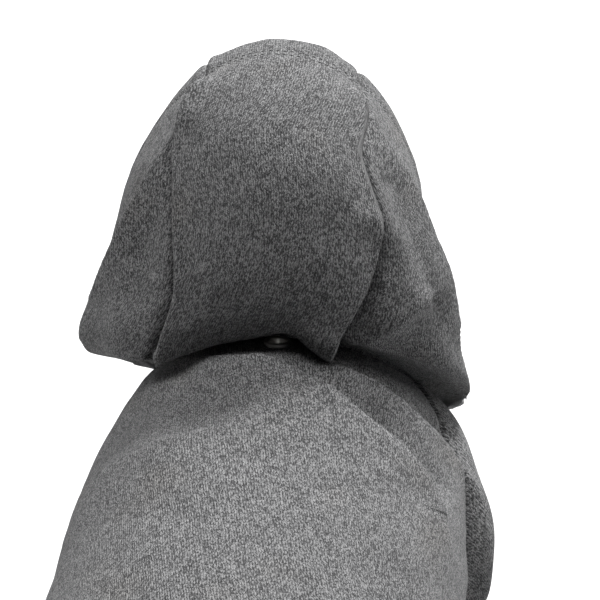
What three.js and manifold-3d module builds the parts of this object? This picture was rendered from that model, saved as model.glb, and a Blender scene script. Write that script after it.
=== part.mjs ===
// A hooded sweatshirt for a small dog, in the shape that it takes when it is worn.
// +Y points forward, to the dog's head, +X to the dog's right and +Z up. Lengths are millimetres.
// The origin is at the withers, level with the inner face of the back, where it sits on the dog.
import * as THREE from "three";
import Module from "manifold-3d";
import { mergeVertices } from "three/addons/utils/BufferGeometryUtils.js";

// Cloth
const CLOTH = 2; // sweatshirt fleece
const SEAM_GAP = 0.3; // between two pieces that are sewn together
const NECK_GAP = 0.5; // between the hood and the body, whose edges lie back to back

// Body: girths are rings that lean forward, from the back line down to the throat or belly
const BACK_LENGTH = 294; // neck seam to waistband, along the back
const NECK_WIDTH = 112;
const NECK_DEPTH = 109;
const CHEST_WIDTH = 166;
const CHEST_DEPTH = 188;
const WAIST_WIDTH = 128;
const WAIST_DEPTH = 108;
const NECK_FORWARD = 14; // from the withers to the neck seam
const NECK_DROP = 8.5; // of the neck seam under the withers

// Hood
const HOOD_FULLNESS = 25; // that each slack cheek stands out over the neck and the face opening
const HOOD_RISE = 103; // neck seam to crown
const HOOD_REACH = 72; // neck seam to the face opening, at the crown
const FACE_WIDTH = 136;
const THROAT_RISE = 25;
const THROAT_REACH = 10;
const HOOD_TURN = 6; // degrees that the hood is turned to the dog's left

// Sleeves and rib-knit bands
const LEG_SPACING = 106; // between the centres of the two sleeves
const LEG_FORWARD = 36;
const SLEEVE_DROP = 196; // withers to the sleeve's lower end
const SLEEVE_WIDTH = 58;
const PUFF_RIGHT = 14; // that each sleeve head is pushed out by the cloth bunched in it
const PUFF_LEFT = 1;
const SPREAD = 0.12; // room between the hood and the body, over its distance behind the neck seam
const SHOULDER_RIGHT = 0.85; // and the same added over each sleeve head
const SHOULDER_LEFT = 0.14;
const CUFF_LENGTH = 24;
const WAISTBAND_LENGTH = 30;
const RIB_RELIEF = 0.7;
const RIB_WALL = 2.2;
const CUFF_RIBS = 48;
const WAIST_RIBS = 88;
const BAND_TAPER = 0.95; // free edge of a band as a share of its sewn edge

// Eyelet for the leash, set in the back just behind the neck seam
const EYELET_WIDTH = 11.5;
const EYELET_HOLE = 7;
const EYELET_RIM = 0.9;
const EYELET_TUBE = 0.5;
const EYELET_CLEARANCE = 0.3;
const EYELET_STAND = 0.8; // between a rim and the curved cloth under it
const EYELET_BEHIND_SEAM = 15;

// Rings of the body, from the neck seam back to the waist. along is a share of the back's length,
// and dip, of its back line under the withers, one of the neck's drop. lean is in degrees. girth
// runs from 0 at the neck through 1 at the chest to 2 at the waist. widest is how high up the ring
// it is widest, as a share of its depth, and peak over 1 sharpens its top.
const BODY_RINGS = [
  { at: 0, along: 0, dip: 1, lean: 35.9, girth: 0, widest: 0.46, peak: 1.25 },
  { at: 0.07, along: 0.037, dip: 0.31, lean: 36.3, girth: 0.22, widest: 0.45, peak: 1.22 },
  { at: 0.16, along: 0.102, dip: -0.07, lean: 36.5, girth: 0.5, widest: 0.45, peak: 1.16 },
  { at: 0.3, along: 0.235, dip: -0.13, lean: 35.5, girth: 0.84, widest: 0.46, peak: 1.08 },
  { at: 0.46, along: 0.405, dip: 0, lean: 33.3, girth: 1, widest: 0.48, peak: 1 },
  { at: 0.64, along: 0.609, dip: 0.24, lean: 29.5, girth: 1.19, widest: 0.5, peak: 1 },
  { at: 0.82, along: 0.813, dip: 0.71, lean: 25, girth: 1.56, widest: 0.52, peak: 1 },
  { at: 1, along: 1, dip: 1.3, lean: 16, girth: 2, widest: 0.54, peak: 1 },
];

// Rings of the hood, from the neck seam to the face opening. reach and rise place its back line, as
// shares of the hood's reach and rise, and throat its front line. sag draws the left shoulder of the
// hood back over the body, as a share of its reach, and tuck takes the left cheek's slack in again
// below its widest line, where the full pouch folds under.
const HOOD_RINGS = [
  { at: 0, reach: 0, rise: 0, throat: 0, sag: 0, tuck: 1 },
  { at: 0.05, reach: -0.11, rise: 0.055, throat: 0.08, sag: 0.18, tuck: 1 },
  { at: 0.1, reach: -0.236, rise: 0.095, throat: 0.16, sag: 0.25, tuck: 1 },
  { at: 0.17, reach: -0.355, rise: 0.175, throat: 0.26, sag: 0.16, tuck: 0.9 },
  { at: 0.28, reach: -0.39, rise: 0.39, throat: 0.38, sag: 0.03, tuck: 0.5 },
  { at: 0.45, reach: -0.22, rise: 0.68, throat: 0.5, sag: 0, tuck: 0 },
  { at: 0.65, reach: 0.14, rise: 0.9, throat: 0.66, sag: 0, tuck: 0 },
  { at: 0.83, reach: 0.57, rise: 1, throat: 0.82, sag: 0, tuck: 0 },
  { at: 1, reach: 1, rise: 1, throat: 1, sag: 0, tuck: 0 },
];
const SAG_MIDDLE = -40; // degrees from the back line
const SAG_HALF = 22;
const TUCK_FROM = 74; // degrees from the back line, on the left
const TUCK_TO = 92;

// The hood's two sides. slack is how far the cheek stands out, as a share of the hood's fullness,
// lift raises it out of the ring's plane, as a share of the hood's rise, and narrow draws the side in
// towards its top.
const LEFT_SIDE = [
  { at: 0, slack: 0, lift: 0, narrow: 0 },
  { at: 0.05, slack: 0.4, lift: 0.03, narrow: 0 },
  { at: 0.1, slack: 1.04, lift: 0.04, narrow: 0 },
  { at: 0.17, slack: 1.18, lift: 0.07, narrow: 0 },
  { at: 0.28, slack: 0.8, lift: 0.11, narrow: 0.03 },
  { at: 0.45, slack: 0.56, lift: 0.1, narrow: 0.08 },
  { at: 0.65, slack: 0.42, lift: 0.07, narrow: 0.14 },
  { at: 0.83, slack: 0.22, lift: 0.05, narrow: 0.18 },
  { at: 1, slack: 0.06, lift: 0, narrow: 0.2 },
];
const RIGHT_SIDE = [
  { at: 0, slack: 0, lift: 0, narrow: 0 },
  { at: 0.05, slack: 0.4, lift: 0, narrow: 0 },
  { at: 0.1, slack: 0.84, lift: -0.02, narrow: 0 },
  { at: 0.17, slack: 0.93, lift: -0.03, narrow: 0 },
  { at: 0.28, slack: 0.68, lift: 0, narrow: 0 },
  { at: 0.45, slack: 0.48, lift: 0.02, narrow: 0.02 },
  { at: 0.65, slack: 0.1, lift: 0, narrow: 0.02 },
  { at: 0.83, slack: -0.14, lift: 0, narrow: 0.02 },
  { at: 1, slack: -0.26, lift: 0, narrow: 0.02 },
];

// Seams between the hood's centre panel and its side panels, in degrees either side of the back line.
const HOOD_SEAMS = [
  { at: 0, left: 44, right: 26 },
  { at: 0.06, left: 41, right: 19 },
  { at: 0.14, left: 36.5, right: 17 },
  { at: 0.2, left: 35.2, right: 18.6 },
  { at: 0.25, left: 35.3, right: 23.3 },
  { at: 0.305, left: 36.6, right: 28.4 },
  { at: 0.385, left: 38.9, right: 33.2 },
  { at: 0.475, left: 40.6, right: 34.7 },
  { at: 0.55, left: 41.2, right: 33 },
  { at: 0.64, left: 41.4, right: 30.6 },
  { at: 0.74, left: 37.2, right: 33.4 },
  { at: 0.82, left: 34.2, right: 34.2 },
  { at: 1, left: 33, right: 33 },
];

// The armhole: the middle and half width, in degrees from the back line, of the sleeve's root, down
// to the armpit. The table goes on to the waist as the side seam.
const ARMHOLE_END = 0.42; // place of the armpit among the body rings
const ARMHOLE = [
  { at: 0, middle: 97, half: 26 },
  { at: 0.16, middle: 113, half: 41 },
  { at: 0.3, middle: 118, half: 46 },
  { at: 0.42, middle: 118, half: 44 },
  { at: 1, middle: 106, half: 36 },
];
const SLIP = 7; // degrees that the body has slipped round to the dog's left, at the neck

// Soft folds. on is the cloth they lie in, from and to are [degrees from the back line, place among
// the rings], height is over the cloth (a valley is negative), and reach is the fold's half width.
const FOLDS = [
  { on: "hood", from: [-79, 0.23], to: [-36, 0.735], height: 4.5, reach: 7 },
  { on: "hood", from: [26, 0.18], to: [36, 0.42], height: -5, reach: 8.5 },
  { on: "hood", from: [15, 0.14], to: [27, 0.42], height: 3, reach: 8 },
  { on: "hood", from: [4, 0.05], to: [4, 0.12], height: -3.6, reach: 9 },
  { on: "hood", from: [13, 0.13], to: [14, 0.17], height: 2, reach: 6.5 },
  { on: "hood", from: [36, 0.18], to: [64, 0.34], height: -2.5, reach: 7 },
  { on: "hood", from: [74, 0.4], to: [52, 0.68], height: 2.8, reach: 9 },
  { on: "body", from: [-5, 0.184], to: [50, 0.372], height: 4.4, reach: 10 },
  { on: "body", from: [16, 0.205], to: [60, 0.34], height: -3.2, reach: 7.5 },
  { on: "body", from: [20, 0.172], to: [66, 0.255], height: 2.8, reach: 6.5 },
  { on: "body", from: [-44, 0.39], to: [7, 0.285], height: 2.8, reach: 15 },
];

const FOLD_START = 0.12; // place where the folds reach their full height, past the neck seam

// Places past the neck seam where the hood has its full turn, and where its rings have lost the form
// of the neck's
const TURN_START = 0.1;
const NECK_FORM_END = 0.3;

// How fast the room over a shoulder grows round the body's side
const SHOULDER_BREADTH = 1.6;

// How squarely the body's cloth faces down where a sleeve begins to hang straight from it, and where
// it fully does
const UNDER_START = 0.15;
const UNDER_END = 0.75;

// Rows and columns of the faceted cloth, and sides of what is round
const BACK_COLUMNS = 18;
const BELLY_COLUMNS = 12;
const CENTRE_COLUMNS = 10;
const CHEEK_COLUMNS = 15;
const ARMHOLE_STEPS = 9;
const WAIST_STEPS = 9;
const NECK_STEPS = 5;
const HOOD_STEPS = 20;
const HOOD_CROWDING = 1.35; // over 1 crowds the hood's rows into the fold over the neck seam
const SLEEVE_ROWS = 9;
const ROUND_SIDES = 28;
const WELD = 1e-3; // corners closer than this are one
const STEP = 1e-3; // of angle or place, to measure a surface by
const HALVINGS = 30; // of a range in which a root is looked for

// Section of an eyelet's rim: shares of its width past the hole, and of its thickness
const RIM_SECTION = [
  [0, 0.6],
  [0.3, 1],
  [0.7, 0.9],
  [1, 0.3],
];

const radians = (degrees) => (degrees * Math.PI) / 180;
const mix = (a, b, share) => a + (b - a) * share;

// Columns of a table as smooth functions of place: cubic pieces whose slopes come from the rows.
function track(rows, column) {
  const slope = (i, j) => (rows[j][column] - rows[i][column]) / (rows[j].at - rows[i].at);
  const last = rows.length - 1;
  const slopes = rows.map((row, i) => {
    if (i === 0) return slope(0, 1);
    if (i === last) return slope(last - 1, last);
    const before = row.at - rows[i - 1].at;
    const after = rows[i + 1].at - row.at;
    return (slope(i - 1, i) * after + slope(i, i + 1) * before) / (before + after);
  });
  return (at) => {
    let i = 0;
    while (i < last - 1 && at > rows[i + 1].at) i += 1;
    const span = rows[i + 1].at - rows[i].at;
    const s = (at - rows[i].at) / span;
    const rise = rows[i + 1][column] - rows[i][column];
    const ease = s * s * (3 - 2 * s);
    const leave = s * (1 - s) * (1 - s) * span * slopes[i];
    const arrive = s * s * (s - 1) * span * slopes[i + 1];
    return rows[i][column] + rise * ease + leave + arrive;
  };
}

// Every column of a table but its place, each as a smooth function.
function tracks(rows) {
  const columns = Object.keys(rows[0]).filter((name) => name !== "at");
  return Object.fromEntries(columns.map((name) => [name, track(rows, name)]));
}

const body = tracks(BODY_RINGS);
const hoodRings = tracks(HOOD_RINGS);
const leftSide = tracks(LEFT_SIDE);
const rightSide = tracks(RIGHT_SIDE);
const hoodSeam = tracks(HOOD_SEAMS);
const armhole = tracks(ARMHOLE);

// A size that runs from the first value at 0 through the second at 1 to the third at 2.
const between = (first, second, third, place) =>
  place < 1 ? mix(first, second, place) : mix(second, third, place - 1);

// A point of a leaning ring: top and bottom are its [y, z] ends, and angle turns from the top to +X.
function ringPoint({ top, bottom, halfWidth, widest, peak, narrow, lift }, angle) {
  const across = Math.sin(angle);
  const up = Math.cos(angle);
  const sharp = up > 0 ? Math.pow(up, peak) : up;
  const height = up > 0 ? mix(widest, 1, sharp) : widest * (1 + sharp);
  const depth = Math.hypot(top[0] - bottom[0], top[1] - bottom[1]);
  const upY = (top[0] - bottom[0]) / depth;
  const upZ = (top[1] - bottom[1]) / depth;
  const raised = lift * across * across;
  return new THREE.Vector3(
    halfWidth * across * (1 - narrow * up),
    mix(bottom[0], top[0], height) + raised * upZ,
    mix(bottom[1], top[1], height) - raised * upY,
  );
}

// Height of the folds over smooth cloth at a place, each one a soft ridge that fades at its ends.
function foldHeight(cloth, angle, at, radius, length) {
  const degrees = THREE.MathUtils.radToDeg(angle);
  const scaleU = radians(radius);
  return FOLDS.filter((fold) => fold.on === cloth).reduce((sum, fold) => {
    const run = [(fold.to[0] - fold.from[0]) * scaleU, (fold.to[1] - fold.from[1]) * length];
    const here = [(degrees - fold.from[0]) * scaleU, (at - fold.from[1]) * length];
    const size = run[0] * run[0] + run[1] * run[1];
    const share = THREE.MathUtils.clamp((here[0] * run[0] + here[1] * run[1]) / size, 0, 1);
    const off = Math.hypot(here[0] - share * run[0], here[1] - share * run[1]);
    return sum + fold.height * Math.exp(-((off / fold.reach) ** 2));
  }, 0) * THREE.MathUtils.smoothstep(at, 0, FOLD_START);
}

// The body's ring at a place, which runs from 0 at the neck seam to 1 at the waist.
function bodyRing(place) {
  const girth = body.girth(place);
  const depth = between(NECK_DEPTH, CHEST_DEPTH, WAIST_DEPTH, girth);
  const lean = radians(body.lean(place));
  const top = [NECK_FORWARD - body.along(place) * BACK_LENGTH, CLOTH - body.dip(place) * NECK_DROP];
  return {
    top,
    bottom: [top[0] + depth * Math.sin(lean), top[1] - depth * Math.cos(lean)],
    halfWidth: between(NECK_WIDTH, CHEST_WIDTH, WAIST_WIDTH, girth) / 2,
    widest: body.widest(place),
    peak: body.peak(place),
    narrow: 0,
    lift: 0,
    lean,
  };
}

// Outer face of the body without its folds.
const smoothBody = (angle, place) => ringPoint(bodyRing(place), angle);

// Value at which a rising function of low to high reaches zero.
function rootOf(rising, low, high) {
  let [near, far] = [low, high];
  for (let i = 0; i < HALVINGS; i += 1) {
    const middle = (near + far) / 2;
    if (rising(middle) < 0) near = middle;
    else far = middle;
  }
  return (near + far) / 2;
}

// Moves a point of the hood straight out of the body where it would touch it. The room kept free
// starts as the gap at the neck seam and widens behind it, more so over a sleeve's puffed head.
function clearOfBody(point) {
  const ahead = ({ top, lean }) =>
    (point.y - top[0]) * Math.cos(lean) + (point.z - top[1]) * Math.sin(lean);
  const behind = -ahead(bodyRing(0));
  if (behind <= -NECK_GAP) return point;
  const ring = bodyRing(rootOf((place) => ahead(bodyRing(place)), 0, 1));
  const middleY = mix(ring.bottom[0], ring.top[0], ring.widest);
  const middleZ = mix(ring.bottom[1], ring.top[1], ring.widest);
  const upward = (p) => (p.z - middleZ) * Math.cos(ring.lean) - (p.y - middleY) * Math.sin(ring.lean);
  const turnOf = (p) => Math.atan2(Math.abs(p.x), upward(p));
  const turn = turnOf(point);
  const edge = ringPoint(ring, rootOf((angle) => turnOf(ringPoint(ring, angle)) - turn, 0, Math.PI));
  const outline = Math.hypot(edge.x, upward(edge));
  const most = point.x > 0 ? SHOULDER_RIGHT : SHOULDER_LEFT;
  const shoulder = most * Math.min(1, SHOULDER_BREADTH * Math.sin(turn) ** 2);
  const free = Math.max(0, behind) * (SPREAD + shoulder) + NECK_GAP * Math.min(1, 1 + behind / NECK_GAP);
  const short = (outline + free) / Math.hypot(point.x, upward(point));
  if (short <= 1) return point;
  point.x *= short;
  point.y = middleY + (point.y - middleY) * short;
  point.z = middleZ + (point.z - middleZ) * short;
  return point;
}

// Outer face of the hood without its folds. place runs from 0 at the neck seam to 1 at the face.
function smoothHood(angle, place) {
  const turned = THREE.MathUtils.euclideanModulo(angle + Math.PI, 2 * Math.PI) - Math.PI;
  const side = turned < 0 ? leftSide : rightSide;
  const outOfSeam = NECK_GAP * (1 - place);
  const start = bodyRing(0);
  const settled = Math.min(1, place / NECK_FORM_END);
  const under = THREE.MathUtils.smoothstep(-turned, radians(TUCK_FROM), radians(TUCK_TO));
  const slack = side.slack(place) * (1 - hoodRings.tuck(place) * under);
  const ring = {
    top: [
      start.top[0] + hoodRings.reach(place) * HOOD_REACH + outOfSeam * Math.cos(start.lean),
      start.top[1] + hoodRings.rise(place) * HOOD_RISE + outOfSeam * Math.sin(start.lean),
    ],
    bottom: [
      start.bottom[0] + hoodRings.throat(place) * THROAT_REACH + outOfSeam * Math.cos(start.lean),
      start.bottom[1] + hoodRings.throat(place) * THROAT_RISE + outOfSeam * Math.sin(start.lean),
    ],
    halfWidth: mix(NECK_WIDTH, FACE_WIDTH, place) / 2 + slack * HOOD_FULLNESS,
    widest: mix(start.widest, 0.5, settled),
    peak: mix(start.peak, 1, settled),
    narrow: side.narrow(place),
    lift: side.lift(place) * HOOD_RISE,
  };
  const point = ringPoint(ring, angle);
  const turn = radians(HOOD_TURN) * Math.min(1, place / TURN_START);
  point.x -= Math.tan(turn) * (point.y - start.top[0]);
  const fromSag = (turned - radians(SAG_MIDDLE)) / radians(SAG_HALF);
  point.y -= hoodRings.sag(place) * HOOD_REACH * Math.exp(-fromSag * fromSag);
  return clearOfBody(point);
}

// Outward normal of a surface, from two short steps across it.
function normalOf(surface, angle, place) {
  const low = Math.max(0, place - STEP);
  const high = Math.min(1, place + STEP);
  const across = surface(angle + STEP, place).sub(surface(angle - STEP, place));
  const along = surface(angle, high).sub(surface(angle, low));
  return across.cross(along).normalize();
}

// radius and length turn the angles and places of a fold into millimetres
const CLOTHS = {
  body: { smooth: smoothBody, outward: -1, radius: CHEST_WIDTH / 2, length: BACK_LENGTH },
  hood: { smooth: smoothHood, outward: 1, radius: FACE_WIDTH / 2, length: HOOD_RISE + HOOD_REACH },
};

// Outer and inner point of a cloth, folds included, with the wall between them.
function clothPoints(name, angle, place) {
  const { smooth, outward, radius, length } = CLOTHS[name];
  const folded = (a, p) => {
    const normal = normalOf(smooth, a, p).multiplyScalar(outward);
    return smooth(a, p).addScaledVector(normal, foldHeight(name, a, p, radius, length));
  };
  const outer = folded(angle, place);
  const normal = normalOf(folded, angle, place).multiplyScalar(outward);
  return { outer, inner: outer.clone().addScaledVector(normal, -CLOTH), normal };
}

// Length that one unit of angle or of place covers on a smooth cloth.
function stretchOf(name, angle, place, which) {
  const { smooth } = CLOTHS[name];
  const [a, p] = which === "angle" ? [STEP, 0] : [0, place > 0.5 ? -STEP : STEP];
  return smooth(angle + a, place + p).distanceTo(smooth(angle, place)) / STEP;
}

// Closed solid between an outer and an inner grid of points, grid[column][row]. Where the columns
// close into a ring, the solid is a tube with two ends.
function wallSolid(outer, inner, closed) {
  const columns = outer.length;
  const rows = outer[0].length;
  const positions = [...outer.flat(), ...inner.flat()].flatMap((p) => [p.x, p.y, p.z]);
  const id = (layer, column, row) => (layer * columns + (column % columns)) * rows + row;
  const faces = [];
  const quad = (a, b, c, d) => faces.push(a, b, c, a, c, d);
  const steps = closed ? columns : columns - 1;
  for (let i = 0; i < steps; i += 1) {
    for (let j = 0; j < rows - 1; j += 1) {
      quad(id(0, i, j), id(0, i + 1, j), id(0, i + 1, j + 1), id(0, i, j + 1));
      quad(id(1, i, j), id(1, i, j + 1), id(1, i + 1, j + 1), id(1, i + 1, j));
    }
    quad(id(0, i + 1, 0), id(0, i, 0), id(1, i, 0), id(1, i + 1, 0));
    quad(id(0, i, rows - 1), id(0, i + 1, rows - 1), id(1, i + 1, rows - 1), id(1, i, rows - 1));
  }
  if (!closed) {
    for (let j = 0; j < rows - 1; j += 1) {
      quad(id(0, 0, j), id(0, 0, j + 1), id(1, 0, j + 1), id(1, 0, j));
      const end = columns - 1;
      quad(id(0, end, j + 1), id(0, end, j), id(1, end, j), id(1, end, j + 1));
    }
  }
  const geometry = new THREE.BufferGeometry();
  geometry.setAttribute("position", new THREE.Float32BufferAttribute(positions, 3));
  geometry.setIndex(faces);
  return facingOut(geometry);
}

// Signed volume of a closed geometry, which is negative where its faces point in.
function signedVolume(geometry) {
  const position = geometry.getAttribute("position");
  const corner = (i) => new THREE.Vector3().fromBufferAttribute(position, geometry.index.getX(i));
  let volume = 0;
  for (let i = 0; i < geometry.index.count; i += 3) {
    volume += corner(i).dot(corner(i + 1).cross(corner(i + 2))) / 6;
  }
  return volume;
}

function facingOut(geometry) {
  if (signedVolume(geometry) < 0) {
    const index = geometry.index.array;
    for (let i = 0; i < index.length; i += 3) {
      [index[i + 1], index[i + 2]] = [index[i + 2], index[i + 1]];
    }
  }
  geometry.computeVertexNormals();
  return geometry;
}

// A panel of a cloth: place runs through the given rows, and angle between two edges that are
// functions of place. Each sewn edge stands back by half the seam's gap.
function panel(name, places, lowEdge, highEdge, columns) {
  const outer = [];
  const inner = [];
  for (let i = 0; i <= columns; i += 1) {
    const points = places.map((place, row) => {
      const low = lowEdge(place, row);
      const high = highEdge(place, row);
      const inset = (edge) => SEAM_GAP / 2 / stretchOf(name, edge, place, "angle");
      const angle = mix(low + inset(low), high - inset(high), i / columns);
      const held = SEAM_GAP / 2 / stretchOf(name, angle, place, "place");
      return clothPoints(name, angle, THREE.MathUtils.clamp(place, held, 1 - held));
    });
    outer.push(points.map((p) => p.outer));
    inner.push(points.map((p) => p.inner));
  }
  return wallSolid(outer, inner, false);
}

// Places of the body's rows: an arc's even steps down to the armpit, then even steps to the waist.
const armholeTurn = (row) => (row / ARMHOLE_STEPS) * (Math.PI / 2);
const bodyPlaces = [
  ...Array.from({ length: ARMHOLE_STEPS + 1 }, (_, row) => ARMHOLE_END * Math.sin(armholeTurn(row))),
  ...Array.from({ length: WAIST_STEPS }, (_, row) => mix(ARMHOLE_END, 1, (row + 1) / WAIST_STEPS)),
];

// Angle of the armhole's edge at a place, turned towards +X for hand 1 and towards -X for hand -1.
// side -1 is its edge along the back and 1 the one along the chest.
function armholeEdge(place, side, hand) {
  const past = Math.min(1, place / ARMHOLE_END);
  const opening = Math.sqrt(Math.max(0, 1 - past * past));
  const turned = armhole.middle(place) + side * armhole.half(place) * opening;
  return radians(hand * turned - SLIP * (1 - place));
}

const backPanel = () =>
  panel(
    "body",
    bodyPlaces,
    (p) => armholeEdge(p, -1, -1),
    (p) => armholeEdge(p, -1, 1),
    BACK_COLUMNS,
  );
const bellyPanel = () =>
  panel(
    "body",
    bodyPlaces,
    (p) => armholeEdge(p, 1, 1),
    (p) => 2 * Math.PI + armholeEdge(p, 1, -1),
    BELLY_COLUMNS,
  );

// Places of the hood's rows, closer together in the fold over the neck seam.
const hoodPlaces = Array.from({ length: HOOD_STEPS + 1 }, (_, row) =>
  Math.pow(row / HOOD_STEPS, HOOD_CROWDING),
);
const leftSeam = (place) => -radians(hoodSeam.left(place));
const rightSeam = (place) => radians(hoodSeam.right(place));
const hoodCentrePanel = () => panel("hood", hoodPlaces, leftSeam, rightSeam, CENTRE_COLUMNS);
const hoodRightPanel = () => panel("hood", hoodPlaces, rightSeam, () => Math.PI, CHEEK_COLUMNS);
const hoodLeftPanel = () => panel("hood", hoodPlaces, () => -Math.PI, leftSeam, CHEEK_COLUMNS);

// The armhole's closed edge on the body, as points with the cloth's normal: down the back edge from
// the neck seam to the armpit, up the chest edge, and along the neck seam.
function armholeLoop(hand) {
  const held = SEAM_GAP / 2;
  const loop = [];
  const add = (angle, place) => loop.push({ ...clothPoints("body", angle, place), angle });
  const neckHold = held / stretchOf("body", armholeEdge(0, 0, hand), 0, "place");
  const tip = armholeEdge(ARMHOLE_END, 0, hand);
  const tipHold = held / stretchOf("body", tip, ARMHOLE_END, "place");
  const edge = (row, side) => {
    const place = THREE.MathUtils.clamp(bodyPlaces[row], neckHold, ARMHOLE_END - 2 * tipHold);
    const angle = armholeEdge(place, side, hand);
    add(angle - (hand * side * held) / stretchOf("body", angle, place, "angle"), place);
  };
  for (let row = 0; row <= ARMHOLE_STEPS; row += 1) edge(row, -1);
  for (let row = ARMHOLE_STEPS - 1; row >= 0; row -= 1) edge(row, 1);
  const [low, high] = [loop.at(-1).angle, loop[0].angle];
  for (let i = 1; i < NECK_STEPS; i += 1) add(mix(low, high, i / NECK_STEPS), neckHold);
  return loop;
}

// Swelling of a sleeve head along its curves, which is 1 at a fifth of the way down.
const swell = (s) => (s * (1 - s) ** 4) / (0.2 * 0.8 ** 4);

// A sleeve's wall: smooth curves from the armhole down to a round lower end. Over the shoulder they
// leave along the body's cloth, and under the chest, where that faces down, straight down.
function sleeve(hand) {
  const centre = new THREE.Vector3((hand * LEG_SPACING) / 2, LEG_FORWARD, CLOTH - SLEEVE_DROP);
  const down = new THREE.Vector3(0, 0, -1);
  const { lean } = bodyRing(0);
  const ahead = new THREE.Vector3(0, Math.cos(lean), Math.sin(lean));
  const puff = hand > 0 ? PUFF_RIGHT : PUFF_LEFT;
  const loop = armholeLoop(hand);
  const middle = loop.reduce((sum, { outer }) => sum.add(outer), new THREE.Vector3());
  middle.divideScalar(loop.length);
  const step = (2 * Math.PI) / loop.length;
  const doubled = loop.reduce((sum, { outer }, i) => {
    const next = loop[(i + 1) % loop.length].outer;
    return sum + (outer.x - middle.x) * (next.y - middle.y) - (next.x - middle.x) * (outer.y - middle.y);
  }, 0);
  const spin = Math.sign(doubled);
  const phase = loop.reduce(
    (sum, { outer }, i) => {
      const turn = Math.atan2(outer.y - middle.y, outer.x - middle.x) - spin * i * step;
      return [sum[0] + Math.cos(turn), sum[1] + Math.sin(turn)];
    },
    [0, 0],
  );
  const first = Math.atan2(phase[1], phase[0]);
  const columns = loop.map(({ normal, outer }, i) => {
    const turn = first + spin * i * step;
    const round = new THREE.Vector3(Math.cos(turn), Math.sin(turn), 0);
    const under = THREE.MathUtils.smoothstep(-normal.z, UNDER_START, UNDER_END);
    const along = down.clone().addScaledVector(normal, -down.dot(normal)).normalize();
    along.lerp(down, under).normalize();
    const across = normal.clone().lerp(round, under);
    across.addScaledVector(along, -across.dot(along)).normalize();
    const start = [outer, outer.clone().addScaledVector(across, -CLOTH)];
    const finish = [SLEEVE_WIDTH / 2, SLEEVE_WIDTH / 2 - CLOTH].map((radius) =>
      centre.clone().addScaledVector(round, radius),
    );
    const reach = outer.distanceTo(finish[0]);
    const leave = along.multiplyScalar(reach);
    const bulge = puff * Math.max(0, hand * normal.x) * (1 - under);
    const outward = normal.clone().addScaledVector(ahead, -normal.dot(ahead));
    const arrive = down.clone().multiplyScalar(reach);
    return [0, 1].map((face) =>
      Array.from({ length: SLEEVE_ROWS + 1 }, (_, row) => {
        const s = row / SLEEVE_ROWS;
        const ease = s * s * (3 - 2 * s);
        return start[face]
          .clone()
          .lerp(finish[face], ease)
          .addScaledVector(leave, s * (1 - s) ** 2)
          .addScaledVector(arrive, s * s * (s - 1))
          .addScaledVector(outward, bulge * swell(s));
      }),
    );
  });
  return wallSolid(columns.map((c) => c[0]), columns.map((c) => c[1]), true);
}

// A ribbed band: edge gives the sewn edge's outer face at an angle, away is the way the band runs,
// and its free edge is drawn in. Each rib is a ridge and a valley.
function ribbedBand(edge, middle, away, length, ribs) {
  const columns = ribs * 2;
  const grid = (inset) =>
    Array.from({ length: columns }, (_, i) => {
      const sewn = edge((i / columns) * 2 * Math.PI);
      const out = sewn.clone().sub(middle);
      const radius = out.length();
      const ridge = i % 2 ? -RIB_RELIEF / 2 : RIB_RELIEF / 2;
      return [0, 1].map((end) => {
        const distance = radius * mix(1, BAND_TAPER, end) - inset + (inset ? -ridge : ridge);
        return middle
          .clone()
          .addScaledVector(out, distance / radius)
          .addScaledVector(away, SEAM_GAP + end * length);
      });
    });
  return wallSolid(grid(0), grid(RIB_WALL), true);
}

function cuff(side) {
  const middle = new THREE.Vector3((side * LEG_SPACING) / 2, LEG_FORWARD, CLOTH - SLEEVE_DROP);
  const edge = (angle) =>
    new THREE.Vector3(Math.cos(angle), Math.sin(angle), 0).multiplyScalar(SLEEVE_WIDTH / 2).add(middle);
  return ribbedBand(edge, middle, new THREE.Vector3(0, 0, -1), CUFF_LENGTH, CUFF_RIBS);
}

function waistband() {
  const lean = radians(BODY_RINGS.at(-1).lean);
  const away = new THREE.Vector3(0, -Math.cos(lean), -Math.sin(lean));
  const top = smoothBody(0, 1);
  const bottom = smoothBody(Math.PI, 1);
  const middle = top.clone().add(bottom).multiplyScalar(0.5);
  return ribbedBand((angle) => smoothBody(angle, 1), middle, away, WAISTBAND_LENGTH, WAIST_RIBS);
}

// Where the eyelet sits: on the back line, a set way behind the neck seam, halfway through the cloth.
function eyeletSeat() {
  const target = NECK_FORWARD - EYELET_BEHIND_SEAM;
  const place = rootOf((at) => target - clothPoints("body", 0, at).outer.y, 0, 1);
  const { outer, inner, normal } = clothPoints("body", 0, place);
  return { middle: outer.clone().add(inner).multiplyScalar(0.5), normal };
}

// A geometry whose own axis is Y, moved to the eyelet's seat.
function placed(geometry) {
  const { middle, normal } = eyeletSeat();
  const turn = new THREE.Quaternion().setFromUnitVectors(new THREE.Vector3(0, 1, 0), normal);
  return geometry.applyQuaternion(turn).translate(middle.x, middle.y, middle.z);
}

// The eyelet: two rims joined by a tube through the cloth, turned about its own axis.
function eyelet() {
  const hole = EYELET_HOLE / 2;
  const rim = EYELET_WIDTH / 2;
  const half = CLOTH / 2 + EYELET_STAND;
  const rimEdge = (way) =>
    RIM_SECTION.map(([across, up]) => [mix(hole, rim, across), way * (half + EYELET_RIM * up)]);
  const outline = [
    ...rimEdge(1),
    [rim, half],
    [hole + EYELET_TUBE, half],
    [hole + EYELET_TUBE, -half],
    [rim, -half],
    ...rimEdge(-1).reverse(),
  ];
  outline.push(outline[0]);
  const points = outline.map(([x, y]) => new THREE.Vector2(x, y));
  return placed(closedOf(new THREE.LatheGeometry(points, ROUND_SIDES)));
}

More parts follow.
